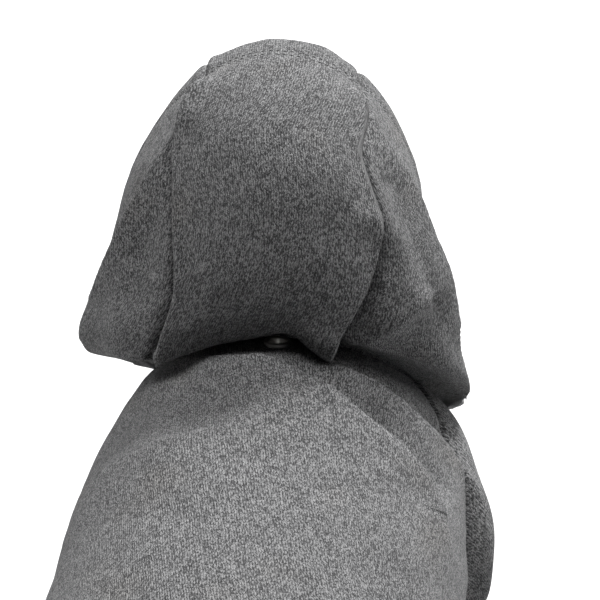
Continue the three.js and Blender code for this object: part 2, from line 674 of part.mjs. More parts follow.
// A geometry with its shared corners merged, facing out.
function closedOf(geometry) {
  const bare = geometry.index ? geometry.toNonIndexed() : geometry.clone();
  bare.deleteAttribute("normal");
  bare.deleteAttribute("uv");
  return facingOut(mergeVertices(bare, WELD));
}

const wasm = await Module();
wasm.setup();

function solidOf(geometry) {
  const closed = closedOf(geometry);
  const vertProperties = new Float32Array(closed.getAttribute("position").array);
  const triVerts = new Uint32Array(closed.index.array);
  return new wasm.Manifold(new wasm.Mesh({ numProp: 3, vertProperties, triVerts }));
}

// First geometry with the second one cut out of it.
function cut(geometry, tool) {
  const mesh = solidOf(geometry).subtract(solidOf(tool)).getMesh();
  const result = new THREE.BufferGeometry();
  result.setAttribute("position", new THREE.BufferAttribute(mesh.vertProperties, 3));
  result.setIndex(new THREE.BufferAttribute(mesh.triVerts, 1));
  return facingOut(result);
}

function backPanelWithHole() {
  const radius = EYELET_HOLE / 2 + EYELET_TUBE + EYELET_CLEARANCE;
  const punch = placed(new THREE.CylinderGeometry(radius, radius, 6 * CLOTH, ROUND_SIDES));
  return cut(backPanel(), punch);
}

const fleece = () => new THREE.MeshStandardMaterial({ color: 0x6f7072, roughness: 0.95, metalness: 0 });
const ribKnit = () => new THREE.MeshStandardMaterial({ color: 0x66676a, roughness: 0.95, metalness: 0 });
const nickel = () => new THREE.MeshStandardMaterial({ color: 0xb4b4ae, roughness: 0.25, metalness: 1 });

const garment = new THREE.Group();
const add = (name, geometry, material) => {
  const mesh = new THREE.Mesh(geometry, material);
  mesh.name = name;
  garment.add(mesh);
};

add("back_panel", backPanelWithHole(), fleece());
add("belly_panel", bellyPanel(), fleece());
add("sleeve_right", sleeve(1), fleece());
add("sleeve_left", sleeve(-1), fleece());
add("hood_centre_panel", hoodCentrePanel(), fleece());
add("hood_right_panel", hoodRightPanel(), fleece());
add("hood_left_panel", hoodLeftPanel(), fleece());
add("cuff_right", cuff(1), ribKnit());
add("cuff_left", cuff(-1), ribKnit());
add("waistband", waistband(), ribKnit());
add("leash_eyelet", eyelet(), nickel());

export default garment;
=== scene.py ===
# %% [markdown]
# # A hooded sweatshirt for a small dog
# The garment is sewn from cut panels of fleece: a back, a belly, two raglan sleeves and a hood of
# three panels, with rib-knit cuffs and waistband and one metal eyelet for the leash. In Blender a
# garment could be draped by simulation, but here its worn shape is known, so each panel is a smooth
# surface of two parameters, an angle round the body and a place along it. That keeps every panel
# exactly on its seam, and leaves the folds where a maker would look for them.

# %% Tools and the frame
import math

import bmesh
import bpy
import numpy as np
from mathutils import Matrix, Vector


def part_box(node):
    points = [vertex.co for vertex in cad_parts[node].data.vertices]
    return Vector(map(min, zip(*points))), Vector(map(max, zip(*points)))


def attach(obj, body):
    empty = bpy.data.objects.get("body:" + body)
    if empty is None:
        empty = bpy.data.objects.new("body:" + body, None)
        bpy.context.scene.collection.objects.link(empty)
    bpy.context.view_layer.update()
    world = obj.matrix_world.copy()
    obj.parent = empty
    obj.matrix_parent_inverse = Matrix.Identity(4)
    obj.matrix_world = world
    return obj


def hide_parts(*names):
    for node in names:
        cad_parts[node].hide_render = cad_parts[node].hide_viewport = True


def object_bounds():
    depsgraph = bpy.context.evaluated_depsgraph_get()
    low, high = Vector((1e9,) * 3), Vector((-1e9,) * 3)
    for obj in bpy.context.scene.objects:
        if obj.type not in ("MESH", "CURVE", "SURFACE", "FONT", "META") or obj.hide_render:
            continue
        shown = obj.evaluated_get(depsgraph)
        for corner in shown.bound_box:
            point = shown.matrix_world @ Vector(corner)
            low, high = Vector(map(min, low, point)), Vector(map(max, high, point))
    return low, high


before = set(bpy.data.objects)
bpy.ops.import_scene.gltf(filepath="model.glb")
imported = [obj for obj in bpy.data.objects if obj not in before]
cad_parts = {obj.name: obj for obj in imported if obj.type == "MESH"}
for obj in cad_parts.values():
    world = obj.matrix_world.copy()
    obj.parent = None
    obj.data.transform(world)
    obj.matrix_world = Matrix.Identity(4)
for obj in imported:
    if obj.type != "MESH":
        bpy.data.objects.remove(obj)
cad_box = [list(corner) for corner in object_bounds()]
print("solids in the frame:", len(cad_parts))

# %% [markdown]
# ## Camera
# The camera looks down on the back of the neck from behind, a little from the dog's right. It is a
# long lens close to a metre away, which flattens the perspective as product photographs do. The
# shift moves the garment inside the picture without turning the camera.

# %% Camera
PICTURE = 600
SIGHT_X, SIGHT_Y = 278, 342
AZIMUTH, ELEVATION = math.radians(6), math.radians(33)
DISTANCE = 0.9
VIEW_WIDTH = 0.246
SENSOR = 36.0

cam_data = bpy.data.cameras.new("camera")
cam_data.sensor_width = SENSOR
cam_data.lens = SENSOR * DISTANCE / VIEW_WIDTH
cam_data.shift_x = (PICTURE / 2 - SIGHT_X) / PICTURE
cam_data.shift_y = (SIGHT_Y - PICTURE / 2) / PICTURE
camera = bpy.data.objects.new("camera", cam_data)
bpy.context.collection.objects.link(camera)
camera.location = (
    DISTANCE * math.sin(AZIMUTH) * math.cos(ELEVATION),
    -DISTANCE * math.cos(AZIMUTH) * math.cos(ELEVATION),
    DISTANCE * math.sin(ELEVATION),
)
camera.rotation_euler = (math.pi / 2 - ELEVATION, 0, AZIMUTH)
bpy.context.scene.camera = camera
print(f"lens {cam_data.lens:.0f} mm")

# %% [markdown]
# ## The worn shape
# The body is a row of rings that lean forward, from the neck seam back to the waist, and the hood is
# a row of rings from the neck seam out to the face opening. Each column of a table below says how one
# measure runs along the row. Lengths are millimetres until a piece is built.

# %% Measures
MM = 0.001
CLOTH = 2.0
NECK_GAP = 0.5
BACK_LENGTH = 294.0
NECK_WIDTH, NECK_DEPTH = 112.0, 109.0
CHEST_WIDTH, CHEST_DEPTH = 166.0, 188.0
WAIST_WIDTH, WAIST_DEPTH = 128.0, 108.0
NECK_FORWARD, NECK_DROP = 14.0, 8.5
HOOD_FULLNESS = 25.0
HOOD_RISE, HOOD_REACH = 103.0, 72.0
FACE_WIDTH = 136.0
THROAT_RISE, THROAT_REACH = 25.0, 10.0
HOOD_TURN = math.radians(6)
SPREAD, SHOULDER_RIGHT, SHOULDER_LEFT, SHOULDER_BREADTH = 0.12, 0.85, 0.14, 1.6
TURN_START, NECK_FORM_END, FOLD_START = 0.1, 0.3, 0.12
TUCK_FROM, TUCK_TO = math.radians(74), math.radians(92)
SAG_MIDDLE, SAG_HALF = math.radians(-40), math.radians(22)


# %% Tables
def columns(names, *rows):
    """A table of named columns from rows of numbers."""
    return dict(zip(names.split(), np.array(rows, float).T))


BODY_RINGS = columns(
    "at along dip lean girth widest peak",
    (0, 0, 1, 35.9, 0, 0.46, 1.25),
    (0.07, 0.037, 0.31, 36.3, 0.22, 0.45, 1.22),
    (0.16, 0.102, -0.07, 36.5, 0.5, 0.45, 1.16),
    (0.3, 0.235, -0.13, 35.5, 0.84, 0.46, 1.08),
    (0.46, 0.405, 0, 33.3, 1, 0.48, 1),
    (0.64, 0.609, 0.24, 29.5, 1.19, 0.5, 1),
    (0.82, 0.813, 0.71, 25, 1.56, 0.52, 1),
    (1, 1, 1.3, 16, 2, 0.54, 1),
)
HOOD_RINGS = columns(
    "at reach rise throat sag",
    (0, 0, 0, 0, 0),
    (0.05, -0.11, 0.055, 0.08, 0.18),
    (0.1, -0.236, 0.095, 0.16, 0.25),
    (0.17, -0.355, 0.175, 0.26, 0.16),
    (0.28, -0.39, 0.39, 0.38, 0.03),
    (0.45, -0.22, 0.68, 0.5, 0),
    (0.65, 0.14, 0.9, 0.66, 0),
    (0.83, 0.57, 1, 0.82, 0),
    (1, 1, 1, 1, 0),
)
LEFT_SIDE = columns(
    "at slack lift narrow tuck",
    (0, 0, 0, 0, 1),
    (0.05, 0.4, 0.03, 0, 1),
    (0.1, 1.04, 0.04, 0, 1),
    (0.17, 1.18, 0.07, 0, 0.9),
    (0.28, 0.8, 0.11, 0.03, 0.5),
    (0.45, 0.56, 0.1, 0.08, 0),
    (0.65, 0.42, 0.07, 0.14, 0),
    (0.83, 0.22, 0.05, 0.18, 0),
    (1, 0.06, 0, 0.2, 0),
)
RIGHT_SIDE = columns(
    "at slack lift narrow tuck",
    (0, 0, 0, 0, 0),
    (0.05, 0.4, 0, 0, 0),
    (0.1, 0.84, -0.02, 0, 0),
    (0.17, 0.93, -0.03, 0, 0),
    (0.28, 0.68, 0, 0, 0),
    (0.45, 0.48, 0.02, 0.02, 0),
    (0.65, 0.1, 0, 0.02, 0),
    (0.83, -0.14, 0, 0.02, 0),
    (1, -0.26, 0, 0.02, 0),
)
HOOD_SEAMS = columns(
    "at left right",
    (0, 44, 26),
    (0.06, 41, 19),
    (0.14, 36.5, 17),
    (0.2, 35.2, 18.6),
    (0.25, 35.3, 23.3),
    (0.305, 36.6, 28.4),
    (0.385, 38.9, 33.2),
    (0.475, 40.6, 34.7),
    (0.55, 41.2, 33),
    (0.64, 41.4, 30.6),
    (0.74, 37.2, 33.4),
    (0.82, 34.2, 34.2),
    (1, 33, 33),
)
ARMHOLE_END = 0.42
SLIP = 7.0
ARMHOLE = columns(
    "at middle half",
    (0, 97, 26),
    (0.16, 113, 41),
    (0.3, 118, 46),
    (0.42, 118, 44),
    (1, 106, 36),
)
print("rings:", len(BODY_RINGS["at"]), "of the body,", len(HOOD_RINGS["at"]), "of the hood")


# %% Small functions and smooth curves through the tables
def mix(a, b, share):
    """a plus a share of the way from a to b."""
    return a + (b - a) * share


def unit(vectors):
    """Vectors of length one, in the directions given."""
    return vectors / np.linalg.norm(vectors, axis=-1, keepdims=True)


def bell(distance, reach, power=2):
    """A height of 1 that decays with distance: exp(-(distance / reach) ** power)."""
    return np.exp(-((distance / reach) ** power))


def run_length(points, axis):
    """Length along the lines of a grid from their first points, as a running sum of chords."""
    first = points[:1] if axis == 0 else points[:, :1]
    return np.cumsum(np.linalg.norm(np.diff(points, axis=axis, prepend=first), axis=-1), axis=axis)


def track(table, column):
    """One column as a smooth function of place. Between two rows it is a cubic, whose slope at each
    row is the mean of the two chords beside it, each weighted by the other's span."""
    at, value = table["at"], table[column]
    span = np.diff(at)
    chord = np.diff(value) / span
    inner = (chord[:-1] * span[1:] + chord[1:] * span[:-1]) / (span[:-1] + span[1:])
    slope = np.concatenate([chord[:1], inner, chord[-1:]])

    def curve(place):
        i = np.searchsorted(at[1:-1], place)
        s = (place - at[i]) / span[i]
        eased = value[i] + (value[i + 1] - value[i]) * s * s * (3 - 2 * s)
        return eased + span[i] * (s * (1 - s) ** 2 * slope[i] + s * s * (s - 1) * slope[i + 1])

    return curve


def tracks(table):
    """Every column of a table but its place, as smooth functions."""
    return {name: track(table, name) for name in table if name != "at"}


body, hood = tracks(BODY_RINGS), tracks(HOOD_RINGS)
left_side, right_side = tracks(LEFT_SIDE), tracks(RIGHT_SIDE)
hood_seams, armhole = tracks(HOOD_SEAMS), tracks(ARMHOLE)
print(f"half width of the armhole at its middle: {float(armhole['half'](0.2)):.0f} degrees")


# %% Rings of the body
def smoothstep(value, low, high):
    """0 below low, 1 above high, and an even S between."""
    share = np.clip((value - low) / (high - low), 0, 1)
    return share * share * (3 - 2 * share)


def by_girth(neck, chest, waist, girth):
    """A size that runs from the neck's at girth 0 through the chest's at 1 to the waist's at 2."""
    return np.where(girth < 1, mix(neck, chest, girth), mix(chest, waist, girth - 1))


def ring_point(ring, angle):
    """Point of a leaning ring. The angle turns from the top to +X: its sine goes across the ring's
    half width, and its cosine up the ring's depth, from below the widest height to above it."""
    across, up = np.sin(angle), np.cos(angle)
    sharp = np.where(up > 0, np.maximum(up, 0) ** ring["peak"], up)
    widest = ring["widest"]
    height = np.where(up > 0, mix(widest, 1, sharp), widest * (1 + sharp))
    deep_y, deep_z = ring["top_y"] - ring["bottom_y"], ring["top_z"] - ring["bottom_z"]
    raised = ring["lift"] * across**2 / np.hypot(deep_y, deep_z)
    x = ring["half"] * across * (1 - ring["narrow"] * up)
    y = ring["bottom_y"] + deep_y * height + raised * deep_z
    z = ring["bottom_z"] + deep_z * height - raised * deep_y
    return np.stack([x, y, z], axis=-1)


def body_ring(place):
    """The body's ring at a place: its top follows the back line, and its bottom lies a depth away
    along the ring's lean."""
    girth = body["girth"](place)
    depth = by_girth(NECK_DEPTH, CHEST_DEPTH, WAIST_DEPTH, girth)
    lean = np.radians(body["lean"](place))
    top_y = NECK_FORWARD - body["along"](place) * BACK_LENGTH
    top_z = CLOTH - body["dip"](place) * NECK_DROP
    return {
        "top_y": top_y,
        "top_z": top_z,
        "bottom_y": top_y + depth * np.sin(lean),
        "bottom_z": top_z - depth * np.cos(lean),
        "half": by_girth(NECK_WIDTH, CHEST_WIDTH, WAIST_WIDTH, girth) / 2,
        "widest": body["widest"](place),
        "peak": body["peak"](place),
        "lean": lean,
        "narrow": 0.0,
        "lift": 0.0,
    }


def smooth_body(angle, place):
    """Outer face of the body without its folds."""
    return ring_point(body_ring(place), angle)


print("chest, mm:", np.round(smooth_body(np.array([0.0, math.pi]), np.array([0.46, 0.46])), 1))

# %% [markdown]
# ## The hood stands clear of the shoulders
# The hood is slack, so it folds back over the neck seam and rests over the body. Where a ring of the
# hood would dip into the body, the point is moved straight out of it, along the body's own ring. The
# ring through a point is found by halving a range, for all the points at once.


# %% Rings of the hood
def root_of(rising, low, high, halvings=26):
    """Where a rising function reaches zero, by halving a range for a whole array at once."""
    for _ in range(halvings):
        middle = (low + high) / 2
        below = rising(middle) < 0
        low, high = np.where(below, middle, low), np.where(below, high, middle)
    return (low + high) / 2


def clear_of_body(points):
    """Moves points out of the body along its rings, to the ring's outline plus a room that starts as
    the gap at the neck seam and widens behind it, more so over the shoulders."""
    flat = points.reshape(-1, 3)

    def ahead(ring, p):
        dy, dz = p[:, 1] - ring["top_y"], p[:, 2] - ring["top_z"]
        return dy * np.cos(ring["lean"]) + dz * np.sin(ring["lean"])

    behind = -ahead(body_ring(np.zeros(len(flat))), flat)
    near = behind > -NECK_GAP
    if not near.any():
        return points
    p, back = flat[near], behind[near]
    low, high = np.zeros(len(p)), np.ones(len(p))
    ring = body_ring(root_of(lambda place: ahead(body_ring(place), p), low, high))
    middle_y = mix(ring["bottom_y"], ring["top_y"], ring["widest"])
    middle_z = mix(ring["bottom_z"], ring["top_z"], ring["widest"])

    def upward(q):
        return (q[:, 2] - middle_z) * np.cos(ring["lean"]) - (q[:, 1] - middle_y) * np.sin(ring["lean"])

    def turn_of(q):
        return np.arctan2(np.abs(q[:, 0]), upward(q))

    turn = turn_of(p)
    edge = ring_point(ring, root_of(lambda a: turn_of(ring_point(ring, a)) - turn, low, high * np.pi))
    most = np.where(p[:, 0] > 0, SHOULDER_RIGHT, SHOULDER_LEFT)
    shoulder = most * np.minimum(1, SHOULDER_BREADTH * np.sin(turn) ** 2)
    room = np.maximum(0, back) * (SPREAD + shoulder) + NECK_GAP * np.minimum(1, 1 + back / NECK_GAP)
    outline = np.hypot(edge[:, 0], upward(edge))
    out = np.maximum(1, (outline + room) / np.hypot(p[:, 0], upward(p)))
    moved = flat.copy()
    moved[near, 0] = p[:, 0] * out
    moved[near, 1] = middle_y + (p[:, 1] - middle_y) * out
    moved[near, 2] = middle_z + (p[:, 2] - middle_z) * out
    return moved.reshape(points.shape)


def smooth_hood(angle, place):
    """Outer face of the hood without its folds: rings from the neck seam to the face opening, with
    slack cheeks, turned a little to the dog's left and kept clear of the body. The tuck draws the
    slack in again under the left cheek, and the sag lets the cloth behind the left shoulder slide
    back, as a bell of the angle."""
    start = body_ring(np.zeros_like(place))
    turned = (angle + np.pi) % (2 * np.pi) - np.pi

    def side(name):
        return np.where(turned < 0, left_side[name](place), right_side[name](place))

    gap_y = NECK_GAP * (1 - place) * np.cos(start["lean"])
    gap_z = NECK_GAP * (1 - place) * np.sin(start["lean"])
    settled = np.minimum(1, place / NECK_FORM_END)
    tucked = side("tuck") * smoothstep(np.abs(turned), TUCK_FROM, TUCK_TO)
    ring = {
        "top_y": start["top_y"] + hood["reach"](place) * HOOD_REACH + gap_y,
        "top_z": start["top_z"] + hood["rise"](place) * HOOD_RISE + gap_z,
        "bottom_y": start["bottom_y"] + hood["throat"](place) * THROAT_REACH + gap_y,
        "bottom_z": start["bottom_z"] + hood["throat"](place) * THROAT_RISE + gap_z,
        "half": mix(NECK_WIDTH, FACE_WIDTH, place) / 2 + side("slack") * HOOD_FULLNESS * (1 - tucked),
        "widest": mix(start["widest"], 0.5, settled),
        "peak": mix(start["peak"], 1, settled),
        "narrow": side("narrow"),
        "lift": side("lift") * HOOD_RISE,
    }
    point = ring_point(ring, angle)
    turn = HOOD_TURN * np.minimum(1, place / TURN_START)
    point[..., 0] -= np.tan(turn) * (point[..., 1] - start["top_y"])
    point[..., 1] -= hood["sag"](place) * HOOD_REACH * bell(turned - SAG_MIDDLE, SAG_HALF)
    return clear_of_body(point)


print("crown, mm:", np.round(smooth_hood(np.array([0.0]), np.array([0.83]))[0], 1))

# %% [markdown]
# ## Folds
# Slack cloth shows three kinds of fold here. A soft roll is a bell-shaped ridge. A pinched fold has a
# sharp crest, and often falls faster to one side. A crease is a narrow valley. Each one runs along a
# line on the cloth, so the height of the cloth at a point only depends on how far the point is from
# that line, and on which side of it.


# %% Fold lines
# Each fold is (height, reach to its left, reach to its right, sharpness, line). A line's points are
# (degrees from the back line, place). Sharpness 2 is a soft bell, and 1 a pinched crest. The long
# ones are the crest and the ridge that the hood's slack makes, and the ridge behind it on the back.
HOOD_FOLDS = [
    (
        7.0, 11, 3.5, 1.2,
        [(-32, 0.8), (-36, 0.735), (-43, 0.655), (-50, 0.573), (-58.7, 0.47), (-69.3, 0.357), (-79, 0.23)],
    ),
    (-2.2, 7, 7, 2, [(-39, 0.66), (-45, 0.52), (-50, 0.4), (-50, 0.28)]),
    (1.6, 12, 12, 2, [(-58, 0.33), (-52, 0.22)]),
    (
        3.0, 5, 11, 1.3,
        [(33, 0.8), (37, 0.745), (44, 0.71), (52, 0.68), (59, 0.635), (65, 0.55), (71, 0.45), (76, 0.35)],
    ),
    (-2.0, 8, 8, 2, [(43, 0.6), (50, 0.48), (54, 0.38)]),
    (3.0, 12, 9, 2, [(16, 0.15), (25, 0.3), (31, 0.42)]),
    (-4.5, 6, 6, 2, [(30, 0.4), (29, 0.3), (25, 0.2)]),
    (3.6, 10, 3.5, 1.4, [(25, 0.18), (32, 0.235), (40, 0.27), (52, 0.33)]),
    (-2.6, 7, 7, 2, [(36, 0.17), (44, 0.215), (54, 0.27), (62, 0.32)]),
    (-3.6, 8, 8, 2, [(3, 0.05), (3, 0.11)]),
    (3.0, 7, 7, 3, [(10, 0.12), (12, 0.165)]),
    (1.0, 14, 14, 2, [(-12, 0.62), (8, 0.5)]),
    (-0.9, 12, 12, 2, [(-20, 0.4), (2, 0.3)]),
]
BODY_FOLDS = [
    (
        6.0, 17, 5, 1.2,
        [(-5, 0.184), (6, 0.207), (14, 0.24), (23.5, 0.281), (33, 0.315), (42, 0.344),
         (50, 0.372), (56, 0.41)],
    ),
    (3.6, 9, 4, 1.2, [(20, 0.172), (31, 0.19), (42, 0.21), (52, 0.236), (66, 0.255), (80, 0.28)]),
    (-4.5, 8, 8, 2, [(10, 0.185), (16, 0.2), (26, 0.238), (38, 0.275), (50, 0.31), (60, 0.34)]),
    (-2.0, 6, 6, 2, [(30, 0.155), (42, 0.17), (54, 0.195), (66, 0.21)]),
    (3.4, 26, 9, 1.6, [(-44, 0.39), (-29, 0.385), (-17, 0.368), (-5, 0.335), (7, 0.285)]),
    (-2.4, 14, 14, 2, [(-46, 0.26), (-30, 0.26), (-14, 0.25)]),
    (1.1, 11, 11, 2, [(-48, 0.2), (-34, 0.3), (-22, 0.44)]),
    (-0.9, 9, 9, 2, [(-34, 0.18), (-20, 0.27), (-6, 0.4)]),
    (1.4, 12, 12, 2, [(40, 0.5), (64, 0.6)]),
    (1.2, 14, 14, 2, [(-70, 0.6), (-40, 0.72)]),
    (1.2, 12, 12, 2, [(150, 0.45), (215, 0.5)]),
    (-1.1, 11, 11, 2, [(145, 0.6), (210, 0.64)]),
]


# %% Height of the folds
SIDE_BLEND, CREST_ROUND = 2, 0.6
RIPPLES = ((14, 34, 0.32), (14, 13, 0.1))


def fold(u, v, height, left_reach, right_reach, sharpness, line):
    """Height of one fold at metric points u, v: a power of the distance to the line's nearest
    stretch, over the reach on that side, taken as the exponent of a decay."""
    nearest = np.full(np.shape(u), 1e9)
    signed = np.zeros(np.shape(u))
    for (u0, v0), (u1, v1) in zip(line[:-1], line[1:]):
        du, dv = u1 - u0, v1 - v0
        share = np.clip(((u - u0) * du + (v - v0) * dv) / (du * du + dv * dv), 0, 1)
        away_u, away_v = u - u0 - share * du, v - v0 - share * dv
        distance = np.hypot(away_u, away_v)
        side = np.sign(du * away_v - dv * away_u)
        closer = distance < nearest
        nearest = np.where(closer, distance, nearest)
        signed = np.where(closer, side, signed)
    turn = smoothstep(signed * nearest, -SIDE_BLEND, SIDE_BLEND)
    reach = mix(right_reach, left_reach, turn)
    soft = np.sqrt(nearest**2 + CREST_ROUND**2) - CREST_ROUND
    return height * bell(soft, reach, sharpness)


def ripple(u, v, seed, count, size, height):
    """A sum of a few sine waves of nearby lengths in all directions, for cloth that never lies quite
    flat. size is the middle wave length, and height the sum's rough height."""
    rng = np.random.default_rng(seed)
    total = np.zeros(np.shape(u))
    for _ in range(count):
        way, start = rng.uniform(0, 2 * np.pi, 2)
        length = size * rng.uniform(0.6, 1.7)
        total += np.sin(2 * np.pi * (u * np.cos(way) + v * np.sin(way)) / length + start)
    return height * total / np.sqrt(count)


def folded(folds, radius, length, seed):
    """Height of all the folds of a cloth, as a function of angle and place. Angles and places become
    millimetres by the cloth's radius and length."""

    def height(angle, place):
        u, v = angle * radius, place * length
        total = sum(ripple(u, v, seed + i, *kind) for i, kind in enumerate(RIPPLES))
        for fold_height, left_reach, right_reach, sharpness, line in folds:
            metric = [(math.radians(a) * radius, p * length) for a, p in line]
            total += fold(u, v, fold_height, left_reach, right_reach, sharpness, metric)
        return total * smoothstep(place, 0, FOLD_START)

    return height


CLOTHS = {
    "body": (smooth_body, -1, folded(BODY_FOLDS, CHEST_WIDTH / 2, BACK_LENGTH, 3)),
    "hood": (smooth_hood, 1, folded(HOOD_FOLDS, FACE_WIDTH / 2, HOOD_RISE + HOOD_REACH, 8)),
}
print("folds:", len(HOOD_FOLDS), "in the hood,", len(BODY_FOLDS), "in the body")

# %% [markdown]
# ## Panels and seams
# A panel is a grid between two edges. The grid is crowded towards its edges, because a sewn seam is a
# small sharp thing: the cloth rolls over and goes in, and only a dark line is left. Two neighbours
# share the edge's points exactly, so the seam is closed, and each side rolls into it on its own.


# %% Grid of a panel
TUCKS, TUCK_AHEAD = (5.0, 3.0), 0.4
CROWDED = 0.75
SEAM_DEPTH, SEAM_WIDTH = 1.1, 1.0
SWELL, SWELL_AWAY, SWELL_REACH = 0.35, 4, 2.6


def crowded(count, share):
    """Numbers from 0 to 1: even steps mixed with steps of a cosine, which crowd at both ends."""
    even = np.linspace(0, 1, count + 1)
    return mix(even, (1 - np.cos(np.pi * even)) / 2, share)


def grid_normals(points, outward):
    """Unit normals of a grid, from the cross product of its two directions."""
    normal = np.cross(np.gradient(points, axis=0), np.gradient(points, axis=1))
    return outward * unit(normal)


def neck_tuck(angle):
    """Seam allowance of the hood at the neck: rows that run inwards from the seam just ahead of the
    body's edge, straight towards the ring's middle."""
    ring = body_ring(0 * angle)
    outer = ring_point(ring, angle)
    middle_y, middle_z = ((ring["top_" + way] + ring["bottom_" + way]) / 2 for way in "yz")
    away = unit(outer - np.stack([0 * angle, middle_y, middle_z], axis=-1))
    ahead = np.stack([0 * angle, np.cos(ring["lean"]), np.sin(ring["lean"])], axis=-1) * TUCK_AHEAD
    return np.stack([outer + ahead - away * depth for depth in TUCKS], axis=1)


def cloth_grid(name, low_edge, high_edge, places, count, roll, fixed=0.5):
    """Outer face of a panel, grid[column][row], with its seams rolled in. roll(low, high, place) is
    the height that the edges add, where low and high are the millimetres from each edge. Also gives
    the panel's flat coordinates: millimetres across, from its middle or from the edge that fixed
    names as a share of the width, and along each column from its first row."""
    smooth, outward, folds = CLOTHS[name]
    share = crowded(count, CROWDED)
    share = np.concatenate([[-share[1]], share, [1 + share[1]]])
    place = np.broadcast_to(places, (len(share), len(places)))
    low, high = low_edge(places), high_edge(places)
    angle = low + (high - low) * share[:, None]
    points = smooth(angle, place)
    normals = grid_normals(points, outward)
    across = run_length(points, 0)
    across -= across[1]
    width = across[-2]
    height = folds(angle, place) + roll(np.maximum(across, 0), np.maximum(width - across, 0), place)
    points = (points + normals * height[..., None])[1:-1]
    across = (across - width * fixed)[1:-1]
    if name == "hood":
        points = np.concatenate([neck_tuck(angle[1:-1, 0]), points], axis=1)
        across = np.concatenate([across[:, :1]] * len(TUCKS) + [across], axis=1)
    return points, np.stack([across, run_length(points, 1)], axis=-1)


def seam_roll(distance, swell=SWELL):
    """Height beside a plain seam: it drops into the seam within a millimetre or so, after a slight
    swell over the seam allowance inside."""
    return swell * bell(distance - SWELL_AWAY, SWELL_REACH) - SEAM_DEPTH * bell(distance, SEAM_WIDTH, 1.5)


# %% Meshes from grids
def mesh_piece(name, points, flat, closed=False):
    """A mesh from a grid of points in millimetres, grid[column][row], with a UV map in metres of
    flat cloth. A closed grid goes round, and its last column of UVs meets the first."""
    columns_, rows = points.shape[:2]
    mesh = bpy.data.meshes.new(name)
    steps = columns_ if closed else columns_ - 1
    i, j = np.meshgrid(np.arange(steps), np.arange(rows - 1), indexing="ij")
    i, j = i.ravel(), j.ravel()
    corners = [(i, j), (i + 1, j), (i + 1, j + 1), (i, j + 1)]
    faces = np.stack([(a % columns_) * rows + b for a, b in corners], axis=-1)
    mesh.vertices.add(columns_ * rows)
    mesh.vertices.foreach_set("co", (points * MM).astype(np.float32).ravel())
    mesh.loops.add(faces.size)
    mesh.loops.foreach_set("vertex_index", faces.astype(np.int32).ravel())
    mesh.polygons.add(len(faces))
    mesh.polygons.foreach_set("loop_start", np.arange(0, faces.size, 4, dtype=np.int32))
    mesh.update(calc_edges=True)
    uv = mesh.uv_layers.new(name="cloth")
    cells = np.stack([flat[a, b] for a, b in corners], axis=1)
    uv.data.foreach_set("uv", (cells * MM).astype(np.float32).ravel())
    mesh.shade_smooth()
    piece = bpy.data.objects.new(name, mesh)
    bpy.context.collection.objects.link(piece)
    return piece


def face_outwards(piece, centre):
    """Turns the faces round if more of the cloth looks towards the line of centres than away."""
    mesh = piece.data
    count = len(mesh.polygons)
    normal, middle = np.empty(count * 3, np.float32), np.empty(count * 3, np.float32)
    mesh.polygons.foreach_get("normal", normal)
    mesh.polygons.foreach_get("center", middle)
    away = middle.reshape(-1, 3) - np.array(centre, np.float32) * MM
    if (normal.reshape(-1, 3) * away).sum() < 0:
        mesh.flip_normals()
    return piece


def walled(piece):
    """Gives a panel its thickness inwards, with closed edges. The inner face takes the second
    material, and the edges keep the first."""
    wall = piece.modifiers.new("wall", "SOLIDIFY")
    wall.thickness = CLOTH * MM
    wall.offset = -1
    wall.use_rim = True
    wall.use_even_offset = False
    wall.material_offset = 1
    wall.material_offset_rim = 0
    return piece


def surface_mm2(points):
    """Area of a grid's faces, in square millimetres, from the cross products of its cells."""
    a = points[1:, :-1] - points[:-1, :-1]
    b = points[:-1, 1:] - points[:-1, :-1]
    return float(np.linalg.norm(np.cross(a, b), axis=-1).sum())


# %% [markdown]
# ## Hood
# The hood is cut as a centre panel and two cheeks. The left cheek has sunk, so the edge of the centre
# panel stands above it as a step. The right cheek has slid under the centre panel, which laps over it
# near the neck and ends there as a blunt tongue. The rim of the face opening is turned in and
# stitched, which draws a shallow channel along it.

# %% Seams of the hood
HOOD_ROWS = 150
HOOD_CROWDING = 1.35
HOOD_LENGTH = HOOD_RISE + HOOD_REACH
HEM, HEM_SPACING = 17.0, 3.2
HEM_ROWS = (HEM, HEM - HEM_SPACING)
OVERLAP, STEP = 7.0, 6.5
SUNK = ((0.65, 2.2), (0.35, 9))

hood_places = np.linspace(0, 1, HOOD_ROWS + 1) ** HOOD_CROWDING


def hem_channel(place):
    """Height along the face rim: a dip under each of two rows of stitches, and a rounded edge."""
    inside = (1 - place) * HOOD_LENGTH
    rows = sum(bell(inside - row, 1.1) for row in HEM_ROWS)
    return -0.5 * rows + 0.4 * bell(inside - HEM / 2, 5) - 0.9 * bell(inside, 1.2)


def neck_roll(place, length, depth):
    """Height beside the neck seam, which both the hood and the body roll into."""
    return -depth * bell(place * length, 1.4, 1.5)


def overlap(place):
    """How far the centre panel lies over the right cheek, along their seam."""
    return OVERLAP * smoothstep(place, 0.03, 0.13) * (1 - smoothstep(place, 0.38, 0.5))


def step(place):
    """How far the left cheek has sunk below the centre panel, along their seam."""
    return STEP * smoothstep(place, 0.02, 0.14) * (1 - smoothstep(place, 0.55, 0.82))


def hood_edges(place):
    """Height that all three panels share: the neck seam and the face hem."""
    return neck_roll(place, HOOD_LENGTH, 1.4) + hem_channel(place)


def centre_roll(low, high, place):
    """At both seams the centre keeps its full height almost to the edge. On the left it then drops by
    the step, and on the right by the overlap, after a low swell over the right cheek."""
    left = seam_roll(low, swell=0.9) - step(place) * bell(low, 1.2)
    drop = overlap(place) * bell(high, 1.5)
    proud = 0.34 * overlap(place) * (bell(high, 9) - bell(high, 1.8))
    return left + seam_roll(high) - drop + proud + hood_edges(place)


